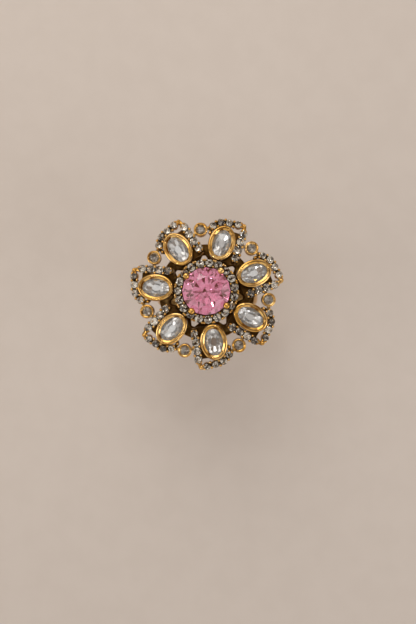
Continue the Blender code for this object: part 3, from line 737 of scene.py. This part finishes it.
def basket_form():
    """Base ring and bearer wire turned about Z, and four claws that climb the stone to ball tips.

    A claw is a round wire up to the girdle and then the circles of a ball. The stem and the ball up to near
    its crown are painted darker, as shade and dark reflection.
    """
    outer, inner = BASE_RING_OUTER, BASE_RING_OUTER - BASE_RING_WALL
    foot, top = SHANK_TOP + SOLDER_GAP, BASE_RING_TOP
    section = softened([(outer, foot), (outer, top), (inner, top), (inner, foot)], closed=True)
    base_ring = turned(section, SMALL_SIDES, BASE_RING_TONE)
    middle = CLAW_FOOT + WIRE_CLIMB * (CLAW_ELBOW - CLAW_FOOT)
    angle = round_angles(WIRE_SIDES)
    circle = middle + oval_points(BASKET_WIRE_RADIUS, BASKET_WIRE_RADIUS, angle)
    wire = turned(circle, ROUND_SIDES, WIRE_TONE)
    ball = np.array([CENTRE_RADIUS + BALL_INSET * CLAW_RADIUS, CENTRE_Z + CENTRE_GIRDLE + CLAW_BALL_RISE])
    lean = unit(ball - CLAW_ELBOW)
    swell = np.radians(np.linspace(*BALL_SPAN, BALL_STEPS))
    stem = CLAW_FOOT + np.linspace(0.0, 1.0, STEM_STEPS)[:, None] * (CLAW_ELBOW - CLAW_FOOT)
    line = np.vstack([stem, ball + CLAW_BALL_RADIUS * np.sin(swell)[:, None] * lean])
    radii = np.concatenate([np.full(STEM_STEPS, CLAW_RADIUS), CLAW_BALL_RADIUS * np.cos(swell)])
    shade = np.clip(BALL_SHADE - BALL_SHADE_FALL * np.sin(swell), 0.0, 1.0)
    patina_and_shade = np.concatenate([np.full(STEM_STEPS, STEM_TONE), shade])
    path = np.stack([line[:, 0], np.zeros(len(line)), line[:, 1]], axis=1)
    claw = swept(path, radii, CLAW_SIDES, patina_and_shade)
    return gathered([base_ring, wire, claw.placed(turn_z(CLAW_TURN + round_angles(CLAW_COUNT)))])


def scallop(distance, stops, neck):
    """Half width of a rail: a circle round each stone, and never less than the neck between two."""
    gap = np.abs(distance[:, None] - stops[None]).min(axis=1)
    return np.maximum(neck, np.sqrt(np.maximum(RAIL_HALF ** 2 - gap ** 2, 0.0)))


def rail_rows(top, depth):
    """Section of a channelled rail as rows of inset, height and painted shade and patina, from the floor out
    to the foot: darkest in the channel, darker down the outer wall.
    """
    return np.array([
        (1.15 * RAIL_WALL, top - CHANNEL_FLOOR, 1.0),
        (RAIL_WALL, top - 0.12 * CHANNEL_FLOOR, 1.0),
        (0.75 * RAIL_WALL, top, 0.35),
        (0.40 * RAIL_WALL, top + 0.05 * RAIL_WALL, 0.0),
        (0.0, top - 0.5 * RAIL_WALL, 0.1),
        (0.0, top - 0.35 * depth, 0.55),
        (0.0, top - 0.9 * depth, 0.6),
        (RAIL_WALL, top - depth, BACK_TONE),
    ])


def halo_form():
    """Channel round the basket whose two walls swell round each stone, with grains in each notch.

    Each notch has two grains on its outer side and one on its inner side, and a thin flange under the
    stones runs in towards the basket.
    """
    sides = HALO_COUNT * SCALLOP_STEPS
    angle = HALO_TURN + round_angles(sides)
    pitch = 2 * np.pi * HALO_RADIUS / HALO_COUNT
    distance = (2 * np.pi * HALO_RADIUS * np.arange(sides) / sides) % pitch
    half = scallop(distance, np.array([0.0, pitch]), RAIL_NECK)
    rows = rail_rows(HALO_TOP, HALO_DEPTH)
    outside = HALO_RADIUS + (half - rows[:, :1])
    inside = HALO_RADIUS - (half - rows[:, :1])
    radius = np.vstack([outside, inside[::-1]])
    both = np.vstack([rows, rows[::-1]])
    plan = oval_points(radius, radius, angle)
    collar = shell(lifted(plan, both[:, 1, None, None]), both[:, 2:], ring=True)
    turns = HALO_TURN + 2 * np.pi * (np.arange(HALO_COUNT) + 0.5) / HALO_COUNT
    grain = bead(HALO_GRAIN_RADIUS, GRAIN_ROOT)
    apart = HALO_GRAIN_APART / HALO_RADIUS
    outer_turns = np.concatenate([turns - apart, turns + apart])
    outer = grain.placed(turn_z(outer_turns) @ shift([HALO_RADIUS + HALO_GRAIN_OFFSET, 0.0, HALO_TOP]))
    inner = grain.placed(turn_z(turns) @ shift([HALO_RADIUS - HALO_GRAIN_OFFSET, 0.0, HALO_TOP]))
    reach, top, foot = HALO_RADIUS - RAIL_NECK, HALO_TOP - SEAT_DROP, HALO_TOP - SEAT_FOOT
    lip = [(SEAT_INNER, top), (reach, top), (reach, foot), (SEAT_INNER, foot)]
    # The flange under the stones is painted fully dark, as shade and patina
    seat = turned(softened(lip, closed=True), WIDE_SIDES, 1.0)
    return gathered([collar, seat, outer, inner])


def cup_form(half, wall, lip, heights, sides, terrace_shade):
    """Closed-back cup: rows of inset, height and painted shade and patina, each row the oval outline drawn
    in by its inset.

    The wall rises to a broad convex rim. Inside the rim a step leads down to a terrace, which slopes to
    the stone and ends in a thin lip that lies on the stone's crown. The outer wall, the groove of the step,
    the lip and the seat are painted darker, as shade and patina, and the terrace gets the painted shade
    given.
    """
    rim, depth, back, crown, girdle, table_share = heights
    slope = crown / ((1 - table_share) * half[1])
    edge = wall + lip
    rest = girdle + slope * lip + LIP_CLEAR
    crest, foot = TERRACE_SHARE * rim, rest + LIP_THICKNESS
    outer_rows = np.array([
        (0.55 * wall, -depth, BACK_TONE),
        (0.20 * wall, -0.80 * depth, 0.4),
        (0.0, -0.25 * depth, 0.7),
        (0.0, 0.30 * rim, 0.6),
        (0.0, 0.66 * rim, 0.2),
        (0.05 * wall, 0.83 * rim, 0.0),
        (0.19 * wall, 0.925 * rim, 0.0),
        (0.32 * wall, 0.98 * rim, 0.0),
        (0.42 * wall, rim, 0.0),
        (0.48 * wall, 0.95 * rim, 0.1),
        (0.52 * wall, 0.74 * rim, 0.6),
        (0.55 * wall, crest - 0.02 * rim, 0.7),
        (0.60 * wall, crest + 0.02 * rim, 0.1),
        (0.69 * wall, crest, terrace_shade),
        (0.5 * edge + 0.345 * wall, 0.5 * (crest + foot), terrace_shade),
        (edge - 0.15 * lip, foot + 0.04 * rim, terrace_shade),
        (edge - 0.04 * lip, foot, 0.5),
        (edge, rest + 0.5 * LIP_THICKNESS, 0.8),
        (edge, rest, 1.0),
    ])
    seat_rows = np.array([
        (wall, girdle + LIP_CLEAR, 1.0),
        (wall - SEAT_GAP, -2 * SEAT_GAP, 1.0),
        (wall + 0.75 * half[1], back - depth, 1.0),
    ])
    smooth = np.vstack([softened(outer_rows), seat_rows])
    angle = round_angles(sides)
    length, width = half[0] + wall - smooth[:, :1], half[1] + wall - smooth[:, :1]
    plan = oval_points(length, width, angle)
    return shell(lifted(plan, smooth[:, 1, None, None]), smooth[:, 2:])


# Leaves

def leaf_paths():
    """Middle lines of the leaf's arc and strip in the petal's frame, both starting at the leaf's tip.

    The arc runs straight from the tip to the petal's end and then follows the bezel's oval at half a
    rail's width. The strip runs back along the petal's side.
    """
    tip = np.array([ARC_REACH + LEAF_FLARE, STRIP_Y + LEAF_TIP_RISE])
    angle = np.radians(np.linspace(*ARC_SPAN, ARC_STEPS))
    arc = np.vstack([tip, oval_points(ARC_REACH, -STRIP_Y, angle)])
    shoulder = np.array([PETAL_HALF_LENGTH - LEAF_TIP_RISE, STRIP_Y])
    strip = np.vstack([tip, shoulder, [-2 * PETAL_HALF_LENGTH, STRIP_Y]])
    return arc, strip


def along_path(path, distances):
    """Points at the given distances along a path, and the direction across the path at each."""
    steps = np.linalg.norm(np.diff(path, axis=0), axis=1)
    length = np.concatenate([[0.0], np.cumsum(steps)])

    def at(where):
        return np.column_stack([np.interp(where, length, path[:, axis]) for axis in (0, 1)])

    reach = RAIL_HALF / 2
    along = unit(at(distances + reach) - at(distances - reach))
    return at(distances), np.column_stack([-along[:, 1], along[:, 0]])


def stone_stops(setback, stones):
    """Distances of a leg's stones from the tip: the setback, then even steps of the pitch."""
    return setback + LEAF_PITCH * np.arange(stones)


def leg_outline(path, stops):
    """Plan of one row of cups: scallops along both sides and a round cap at each end."""
    run = np.linspace(stops[0], stops[-1], SCALLOP_STEPS * (len(stops) - 1) + 1)
    sweep = np.radians(np.linspace(*CAP_SPAN, CAP_STEPS))
    before = stops[0] - RAIL_HALF * np.sin(sweep[::-1])
    after = stops[-1] + RAIL_HALF * np.sin(sweep)
    cap = RAIL_HALF * np.cos(sweep)
    half = np.concatenate([cap[::-1], scallop(run, stops, RAIL_NECK), cap])[:, None]
    points, across = along_path(path, np.concatenate([before, run, after]))
    ends, _ = along_path(path, np.array([stops[0] - RAIL_HALF, stops[-1] + RAIL_HALF]))
    return np.vstack([ends[:1], points - half * across, ends[1:], (points + half * across)[::-1]])


def root_reach():
    """How far in along its own X a leaf's strip runs, to end against the halo's wall."""
    side = -STRIP_Y - ROOT_WIDTH / 2
    end = math.sqrt((HALO_OUTER + SOLDER_GAP) ** 2 - side ** 2)
    lean = (LEAF_DEPTH - LEAF_TOP) * math.sin(PETAL_TILT)
    return (end - PETAL_RADIUS + lean) / math.cos(PETAL_TILT)


def rail_form(outline):
    """Channelled rail on a plan: each row of the section is the plan drawn in along its own normals."""
    along = unit(np.roll(outline, -1, axis=0) - np.roll(outline, 1, axis=0))
    x, y = outline.T
    area = (x * np.roll(y, -1) - y * np.roll(x, -1)).sum()
    inward = np.sign(area) * np.column_stack([-along[:, 1], along[:, 0]])
    rows = rail_rows(LEAF_TOP, LEAF_DEPTH)
    plan = outline[None] + rows[:, :1, None] * inward[None]
    return shell(lifted(plan, rows[:, 1, None, None]), rows[:, 2:], flat_ends=True)


def web_form(inner, outer):
    """Thin plate low down between two lines of the plan that run side by side. Its top is painted fully
    dark, as shade and patina.
    """
    plan = np.stack([inner, outer, outer, inner], axis=1)
    foot = WEB_TOP - WEB_THICKNESS
    levels = np.array([WEB_TOP, WEB_TOP, foot, foot])
    return shell(lifted(plan, levels[:, None]), (1.0, 1.0, BACK_TONE, BACK_TONE), flat_ends=True)


def leaf_webs():
    """Plates that close the leaf to its petal: from the bezel's oval to the strip's line and the arc's."""
    length, width = PETAL_HALF_LENGTH + LIP_CLEAR, PETAL_HALF_WIDTH + LIP_CLEAR
    x = np.linspace(*STRIP_WEB_SPAN, WEB_STEPS)
    beside = np.column_stack([x, -width * np.sqrt(1 - (x / length) ** 2)])
    strip = np.column_stack([x, np.full(WEB_STEPS, STRIP_Y)])
    angle = np.radians(np.linspace(*ARC_WEB_SPAN, WEB_STEPS))
    bezel = oval_points(length, width, angle)
    arc = oval_points(ARC_REACH, -STRIP_Y, angle)
    return [web_form(beside, strip), web_form(bezel, arc)]


def leaf_links(arc_end):
    """Struts to the accent cups on the leaf's two sides, and to the small bead past the arc's last stone."""
    links = []
    for k in (0, -1):
        spot = (np.linalg.inv(petal_place(0)) @ accent_place(k))[:2, 3]
        seat = np.array([spot[0], STRIP_Y]) if k == 0 else arc_end
        away = unit(seat - spot)
        start, end = seat - RAIL_LAP * away, spot + (ACCENT_HALF + LIP_CLEAR) * away
        links.append(strut(start, end, LINK_HALF, LINK_TOP, LINK_DEPTH, LINK_TONE))
    for start in (arc_end + END_BEAD_RAIL, END_BEAD_SPOT - END_BEAD_TIE):
        end = END_BEAD_SPOT + STRUT_LAP * (END_BEAD_SPOT - start)
        links.append(strut(start, end, LINK_HALF, LINK_TOP, LINK_DEPTH, ROOT_TONE))
    return links


def leaf_forms():
    """Two rows of cups with their grains, struts and tip, and their small stones, in the petal's frame."""
    arc, strip = leaf_paths()
    tip = arc[0]
    arc_stops = stone_stops(ARC_SETBACK, LEAF_ARC_STONES)
    strip_stops = stone_stops(STRIP_SETBACK, LEAF_STRIP_STONES)
    metal, grain_places, stone_places = leaf_webs(), [], []
    legs = ((arc, arc_stops, OUTER_GRAIN_OFFSET), (strip, strip_stops, GRAIN_OFFSET))
    for path, stops, right_offset in legs:
        metal.append(rail_form(leg_outline(path, stops)))
        stone_places.append(along_path(path, stops)[0])
        near = along_path(path, stops[:1] - RAIL_HALF)[0][0]
        start = tip + STRUT_LAP * (tip - near)
        metal.append(strut(start, near, ROOT_WIDTH / 2, TIP_STRUT_TOP, TIP_STRUT_DEPTH, TIP_STRUT_TONE))
        notches = np.concatenate([stops[:1] - END_GRAIN_GAP, stops[:-1] + LEAF_PITCH / 2,
                                  stops[-1:] + END_GRAIN_GAP])
        share = np.ones((len(notches), 1))
        share[[0, -1]] = END_GRAIN_SHARE
        points, across = along_path(path, notches)
        grain_places += [points + GRAIN_OFFSET * share * across, points - right_offset * share * across]
    metal += leaf_links(stone_places[0][-1])
    grain_places.append(END_BEAD_SPOT[None])
    root = np.array([root_reach() + ROOT_SHORT, STRIP_Y])
    far = along_path(strip, strip_stops[-1:] + RAIL_LAP)[0][0]
    metal.append(strut(far, root, ROOT_WIDTH / 2, LINK_TOP, ROOT_DEPTH, ROOT_TONE))
    grains = at_height(np.vstack(grain_places), LEAF_TOP)
    metal.append(bead(GRAIN_RADIUS, GRAIN_ROOT).placed(shift(grains)))
    outward = tip - (stone_places[0][0] + stone_places[1][0]) / 2
    tip_place = shift([*tip, LEAF_TOP]) @ turn_z(math.atan2(outward[1], outward[0]))
    metal.append(prong(*TIP_PRONG, GRAIN_ROOT).placed(tip_place))
    rows = []
    for seats, radius in zip(stone_places, (MELEE_RADIUS, PAVE_RADIUS)):
        rows.append(melee_form(radius).placed(shift(at_height(seats, LEAF_TOP + MELEE_LIFT))))
    return gathered(metal), gathered(rows)


# Finishes

class Term:
    """A shader socket that takes part in arithmetic; each operator adds one Math node to its tree."""

    def __init__(self, tree, socket=None):
        self.tree = tree
        self.socket = socket

    def node(self, kind, settings=None, values=None, output=0):
        """Any other node: its settings are set first, then its sockets get values or links."""
        made = self.tree.nodes.new(kind)
        for name, value in (settings or {}).items():
            setattr(made, name, value)
        for name, value in (values or {}).items():
            if isinstance(value, Term):
                self.tree.links.new(value.socket, made.inputs[name])
            else:
                made.inputs[name].default_value = value
        return Term(self.tree, made.outputs[output])

    def math(self, operation, *terms):
        """One Math node on values and sockets."""
        return self.node("ShaderNodeMath", {"operation": operation}, dict(enumerate(terms)))

    def __add__(self, other):
        return self.math("ADD", self, other)

    __radd__ = __add__

    def __mul__(self, other):
        return self.math("MULTIPLY", self, other)

    __rmul__ = __mul__

    def __sub__(self, other):
        return self.math("SUBTRACT", self, other)

    def __rsub__(self, other):
        return self.math("SUBTRACT", other, self)

    def between(self, low, high):
        """Smooth step from 0 at low to 1 at high."""
        return self.node("ShaderNodeMapRange", {"interpolation_type": "SMOOTHSTEP"},
                         {"Value": self, "From Min": low, "From Max": high})

    def blend(self, first, second):
        """Colour that goes from first to second as this value goes from 0 to 1."""
        return self.node("ShaderNodeMix", {"data_type": "RGBA"}, {0: self, 6: first, 7: second}, output=2)

    def times(self, other):
        """Product of two colours."""
        settings = {"data_type": "RGBA", "blend_type": "MULTIPLY"}
        return self.node("ShaderNodeMix", settings, {0: 1.0, 6: self, 7: other}, output=2)

    def noise(self, scale, detail, vector=None):
        """Cloudy values about 0.5 over the object's own coordinates, or over another vector."""
        place = vector or self.node("ShaderNodeTexCoord", output="Object")
        return self.node("ShaderNodeTexNoise", values={"Vector": place, "Scale": scale, "Detail": detail})


def finish(name, **constants):
    """New material with a Principled shader whose even values are set on its own sockets."""
    material = bpy.data.materials.new(name)
    material.use_nodes = True
    tree = material.node_tree
    shader = tree.nodes["Principled BSDF"]
    for socket, value in constants.items():
        shader.inputs[socket.replace("_", " ")].default_value = value

    def feed(socket, term):
        tree.links.new(term.socket, shader.inputs[socket])

    return material, Term(tree), feed


def gold_finish():
    """Polished antique gold: two golds in slow drifts, brown painted shade and patina, and a fine grain.

    The brown is a smooth step of the painted shade and patina plus wear, and wear counts for more where
    that value is high.
    """
    material, term, feed = finish("antique_gold", Metallic=1.0)
    patina_and_shade = term.node("ShaderNodeAttribute", {"attribute_name": "patina_and_shade"}, output="Fac")
    wear, grain, drift = term.noise(*GOLD_WEAR), term.noise(*GOLD_GRAIN), term.noise(*GOLD_DRIFT)
    # Brown painted shade in hollows, under things and between parts, together with the patina there
    patina_and_shade_mix = (patina_and_shade + (wear - NOISE_MIDDLE) * (WEAR_FLAT + patina_and_shade * WEAR_DEEP)).between(*PATINA_AND_SHADE_EDGES)
    lustre = drift.between(*DRIFT_EDGES).blend(GOLD_DEEP, GOLD_BRIGHT)
    feed("Base Color", patina_and_shade_mix.blend(lustre, GOLD_PATINA_AND_SHADE))
    feed("Roughness", GOLD_ROUGHNESS + grain * GRAIN_ROUGHNESS + patina_and_shade_mix * PATINA_AND_SHADE_ROUGHNESS)
    bump = {"Strength": GRAIN_STRENGTH, "Distance": GRAIN_HEIGHT, "Height": grain}
    feed("Normal", grain.node("ShaderNodeBump", values=bump))
    return material


def stone_finish(name, tints):
    """Clear glass with faint cloudy veils in its colour and a film of wear on its polish."""
    material, term, feed = finish(name, Transmission_Weight=1.0, IOR=GLASS_INDEX)
    veil, film = term.noise(*GLASS_VEIL), term.noise(*GLASS_FILM)
    feed("Base Color", veil.between(*VEIL_EDGES).blend(*tints))
    feed("Roughness", GLASS_ROUGHNESS + film.between(*FILM_EDGES) * FILM_ROUGHNESS)
    return material


def foil_finish(name, tints, scale, edge, metal):
    """Mirror backing laid on the facets under a stone, in patches of its two tints with edges of a given
    softness; where the second tint is dark, its patches are painted dark reflections for the stone's
    sparkle.
    """
    material, term, feed = finish(name, Metallic=metal)
    painted_sparkle = term.noise(scale, FOIL_DETAIL)
    feed("Base Color", painted_sparkle.between(FOIL_MIDDLE - edge, FOIL_MIDDLE + edge).blend(*tints))
    feed("Roughness", FOIL_ROUGHNESS + painted_sparkle.between(*SPARKLE_EDGES) * SPARKLE_ROUGHNESS)
    return material


GOLD = gold_finish()
CRYSTAL = stone_finish("clear_crystal", CRYSTAL_TINTS)
CRYSTAL_FOIL = foil_finish("crystal_foil", CRYSTAL_FOIL_TINTS, scale=1400.0, edge=0.18, metal=0.66)
SMALL_FOIL = foil_finish("small_stone_foil", SMALL_FOIL_TINTS, scale=1800.0, edge=0.04, metal=0.95)
ACCENT_FOIL = foil_finish("accent_foil", ACCENT_FOIL_TINTS, scale=1800.0, edge=0.05, metal=0.62)
PINK = stone_finish("pink_glass", PINK_TINTS)
PINK_FOIL = foil_finish("pink_foil", PINK_FOIL_TINTS, scale=1000.0, edge=0.16, metal=0.92)


# Pieces

def add_piece(name, form, finishes, nodes, smooth):
    """Mesh of a form at the origin, riding on the ring's one body and standing for its CAD nodes."""
    blocks = form.faces + form.back
    mesh = bpy.data.meshes.new(name)
    corners = np.concatenate([block.ravel() for block in blocks])
    totals = np.concatenate([np.full(len(block), block.shape[1]) for block in blocks])
    mesh.vertices.add(len(form.points))
    mesh.vertices.foreach_set("co", form.points.astype(np.float32).ravel())
    mesh.loops.add(len(corners))
    mesh.loops.foreach_set("vertex_index", corners.astype(np.int32))
    mesh.polygons.add(len(totals))
    mesh.polygons.foreach_set("loop_start", (np.cumsum(totals) - totals).astype(np.int32))
    for finish_used in finishes:
        mesh.materials.append(finish_used)
    backed = np.zeros(len(totals), np.int32)
    if form.back:
        backed[-sum(len(block) for block in form.back):] = 1
        mesh.polygons.foreach_set("material_index", backed)
    layer = mesh.attributes.new("patina_and_shade", "FLOAT", "POINT")
    layer.data.foreach_set("value", form.patina_and_shade.astype(np.float32))
    mesh.update(calc_edges=True)
    mesh.validate()
    if smooth:
        mesh.shade_smooth()
        mesh.set_sharp_from_angle(angle=SHARP_ANGLE)
    else:
        mesh.shade_flat()
    piece = bpy.data.objects.new(name, mesh)
    bpy.context.scene.collection.objects.link(piece)
    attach(piece, "root")
    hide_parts(*nodes)


def add_gold(name, form, *nodes):
    """Smooth piece of metal."""
    add_piece(name, form, [GOLD], nodes, True)


def add_crystal(name, form, foil, *nodes):
    """Faceted clear stone or stones over a foil."""
    add_piece(name, form, [CRYSTAL, foil], nodes, False)


def add_middle():
    """Shank, gallery, claw basket with the pink stone, and the halo round it."""
    add_gold("shank_band", shank_form(), "shank")
    petal_turns = PETAL_TURN - PETAL_STEP * np.arange(PETAL_COUNT)
    gallery = gathered([hub_form(), brace_form(), rib_form().placed(turn_z(petal_turns))])
    add_gold("gallery", gallery, "gallery_frame")
    add_gold("claw_basket", basket_form(), "centre_basket")
    centre = round_stone(CENTRE_RADIUS, (CENTRE_CROWN, CENTRE_GIRDLE, CENTRE_PAVILION), CENTRE_CUT)
    add_piece("pink_brilliant", centre.placed(shift([0.0, 0.0, CENTRE_Z])), [PINK, PINK_FOIL],
              ["centre_stone"], False)
    add_gold("halo_collar", halo_form(), "halo_rail")
    halo_turns = HALO_TURN + round_angles(HALO_COUNT)
    halo_places = turn_z(halo_turns) @ shift([HALO_RADIUS, 0.0, HALO_TOP + MELEE_LIFT])
    halo_nodes = [f"halo_stone_{k + 1:02d}" for k in range(HALO_COUNT)]
    add_crystal("halo_stones", melee_form(PAVE_RADIUS).placed(halo_places), SMALL_FOIL, *halo_nodes)


def add_petals():
    """Seven times round the flower: oval cup and stone, stone-set leaf, and round cup and stone."""
    oval = brilliant(PETAL_STONE_HALF, (PETAL_CROWN, PETAL_GIRDLE, PETAL_PAVILION), OVAL_CUT, OVAL_FOLD)
    cup_heights = (PETAL_RIM, PETAL_DEPTH, PETAL_BACK, PETAL_CROWN, PETAL_GIRDLE, OVAL_CUT[0])
    cup = cup_form(PETAL_STONE_HALF, PETAL_WALL, PETAL_LIP, cup_heights, WIDE_SIDES, PETAL_TERRACE_TONE)
    accent = round_stone(ACCENT_RADIUS, (ACCENT_CROWN, ACCENT_GIRDLE, ACCENT_PAVILION), ACCENT_CUT)
    small_heights = (ACCENT_RIM, ACCENT_DEPTH, ACCENT_BACK, ACCENT_CROWN, ACCENT_GIRDLE, ACCENT_CUT[0])
    small_cup = cup_form((ACCENT_RADIUS, ACCENT_RADIUS), ACCENT_WALL, ACCENT_LIP, small_heights,
                         SMALL_SIDES, ACCENT_TERRACE_TONE)
    rail, stones = leaf_forms()
    for k in range(PETAL_COUNT):
        petal, beside = petal_place(k), accent_place(k)
        add_gold(f"petal_cup_{k + 1}", cup.placed(petal), f"petal_bezel_{k + 1}")
        add_crystal(f"oval_crystal_{k + 1}", oval.placed(petal), CRYSTAL_FOIL, f"petal_stone_{k + 1}")
        add_gold(f"leaf_rail_{k + 1}", rail.placed(petal), f"pave_leaf_{k + 1}")
        add_crystal(f"leaf_stones_{k + 1}", stones.placed(petal), SMALL_FOIL, f"pave_leaf_{k + 1}")
        add_gold(f"accent_cup_{k + 1}", small_cup.placed(beside), f"accent_bezel_{k + 1}")
        add_crystal(f"accent_crystal_{k + 1}", accent.placed(beside), ACCENT_FOIL, f"accent_stone_{k + 1}")


# Stage, light and camera

def add_floor():
    """Pale disc under the shank: one flat round face."""
    rim = at_height(oval_points(FLOOR_RADIUS, FLOOR_RADIUS, round_angles(ROUND_SIDES)), cad_low[2])
    mesh = bpy.data.meshes.new("floor")
    mesh.from_pydata(rim.tolist(), [], [list(range(ROUND_SIDES))])
    material, term, feed = finish("pale_floor")
    mottle = term.noise(*FLOOR_MOTTLE)
    feed("Base Color", mottle.between(*DRIFT_EDGES).blend(*FLOOR_TINTS))
    feed("Roughness", FLOOR_ROUGHNESS + mottle * MOTTLE_ROUGHNESS)
    mesh.materials.append(material)
    floor = bpy.data.objects.new("floor", mesh)
    bpy.context.scene.collection.objects.link(floor)


def add_lamp(name, place, size, power, colour):
    """Square soft lamp that faces the flower's middle."""
    lamp = bpy.data.lights.new(name, "AREA")
    lamp.size, lamp.energy, lamp.color = size, power, colour
    item = bpy.data.objects.new(name, lamp)
    bpy.context.scene.collection.objects.link(item)
    item.location = place
    facing = np.array([0.0, 0.0, CENTRE_Z]) - np.array(place)
    item.rotation_euler = Vector(facing).to_track_quat("-Z", "Y").to_euler()


def add_light():
    """Warm room light that dims overhead, times large dark patches for gold to mirror, and the lamps."""
    world = bpy.data.worlds.new("studio")
    world.use_nodes = True
    bpy.context.scene.world = world
    term = Term(world.node_tree)
    way = term.node("ShaderNodeTexCoord", output="Generated")
    height = term.node("ShaderNodeSeparateXYZ", values={0: way}, output="Z")
    sky = height.between(*SKY_EDGES).blend(SKY_LOW, SKY_TOP)
    patches = term.noise(*ROOM_PATCHES, way).between(*PATCH_EDGES)
    room = sky.times(patches.blend(ROOM_SHADE, ROOM_OPEN))
    background = world.node_tree.nodes["Background"]
    world.node_tree.links.new(room.socket, background.inputs["Color"])
    for lamp in LAMPS:
        add_lamp(*lamp)


def add_camera():
    """Camera that looks down on the flower's middle from the picture's angle."""
    lens = bpy.data.cameras.new("camera")
    lens.sensor_width = SENSOR
    lens.lens = SENSOR * FOCAL_PIXELS / IMAGE_HEIGHT
    lens.shift_x = -CENTRE_PIXEL_OFFSET[0] / IMAGE_HEIGHT
    lens.shift_y = -CENTRE_PIXEL_OFFSET[1] / IMAGE_HEIGHT
    lens.clip_start = CAMERA_NEAR
    camera = bpy.data.objects.new("camera", lens)
    bpy.context.scene.collection.objects.link(camera)
    level = math.cos(CAMERA_ELEVATION)
    back = np.array([math.sin(CAMERA_AZIMUTH) * level, -math.cos(CAMERA_AZIMUTH) * level,
                     math.sin(CAMERA_ELEVATION)])
    right = np.array([math.cos(CAMERA_AZIMUTH), math.sin(CAMERA_AZIMUTH), 0.0])
    up = np.cross(back, right)
    swing, lift = math.cos(CAMERA_ROLL), math.sin(CAMERA_ROLL)
    matrix = np.eye(4)
    matrix[:3, 0] = swing * right + lift * up
    matrix[:3, 1] = swing * up - lift * right
    matrix[:3, 2] = back
    matrix[:3, 3] = np.array([0.0, 0.0, CENTRE_Z]) + CAMERA_DISTANCE * back
    camera.matrix_world = Matrix(matrix.tolist())
    bpy.context.scene.camera = camera


bpy.context.scene.view_settings.view_transform = "Standard"
add_camera()
add_floor()
add_light()
add_middle()
add_petals()
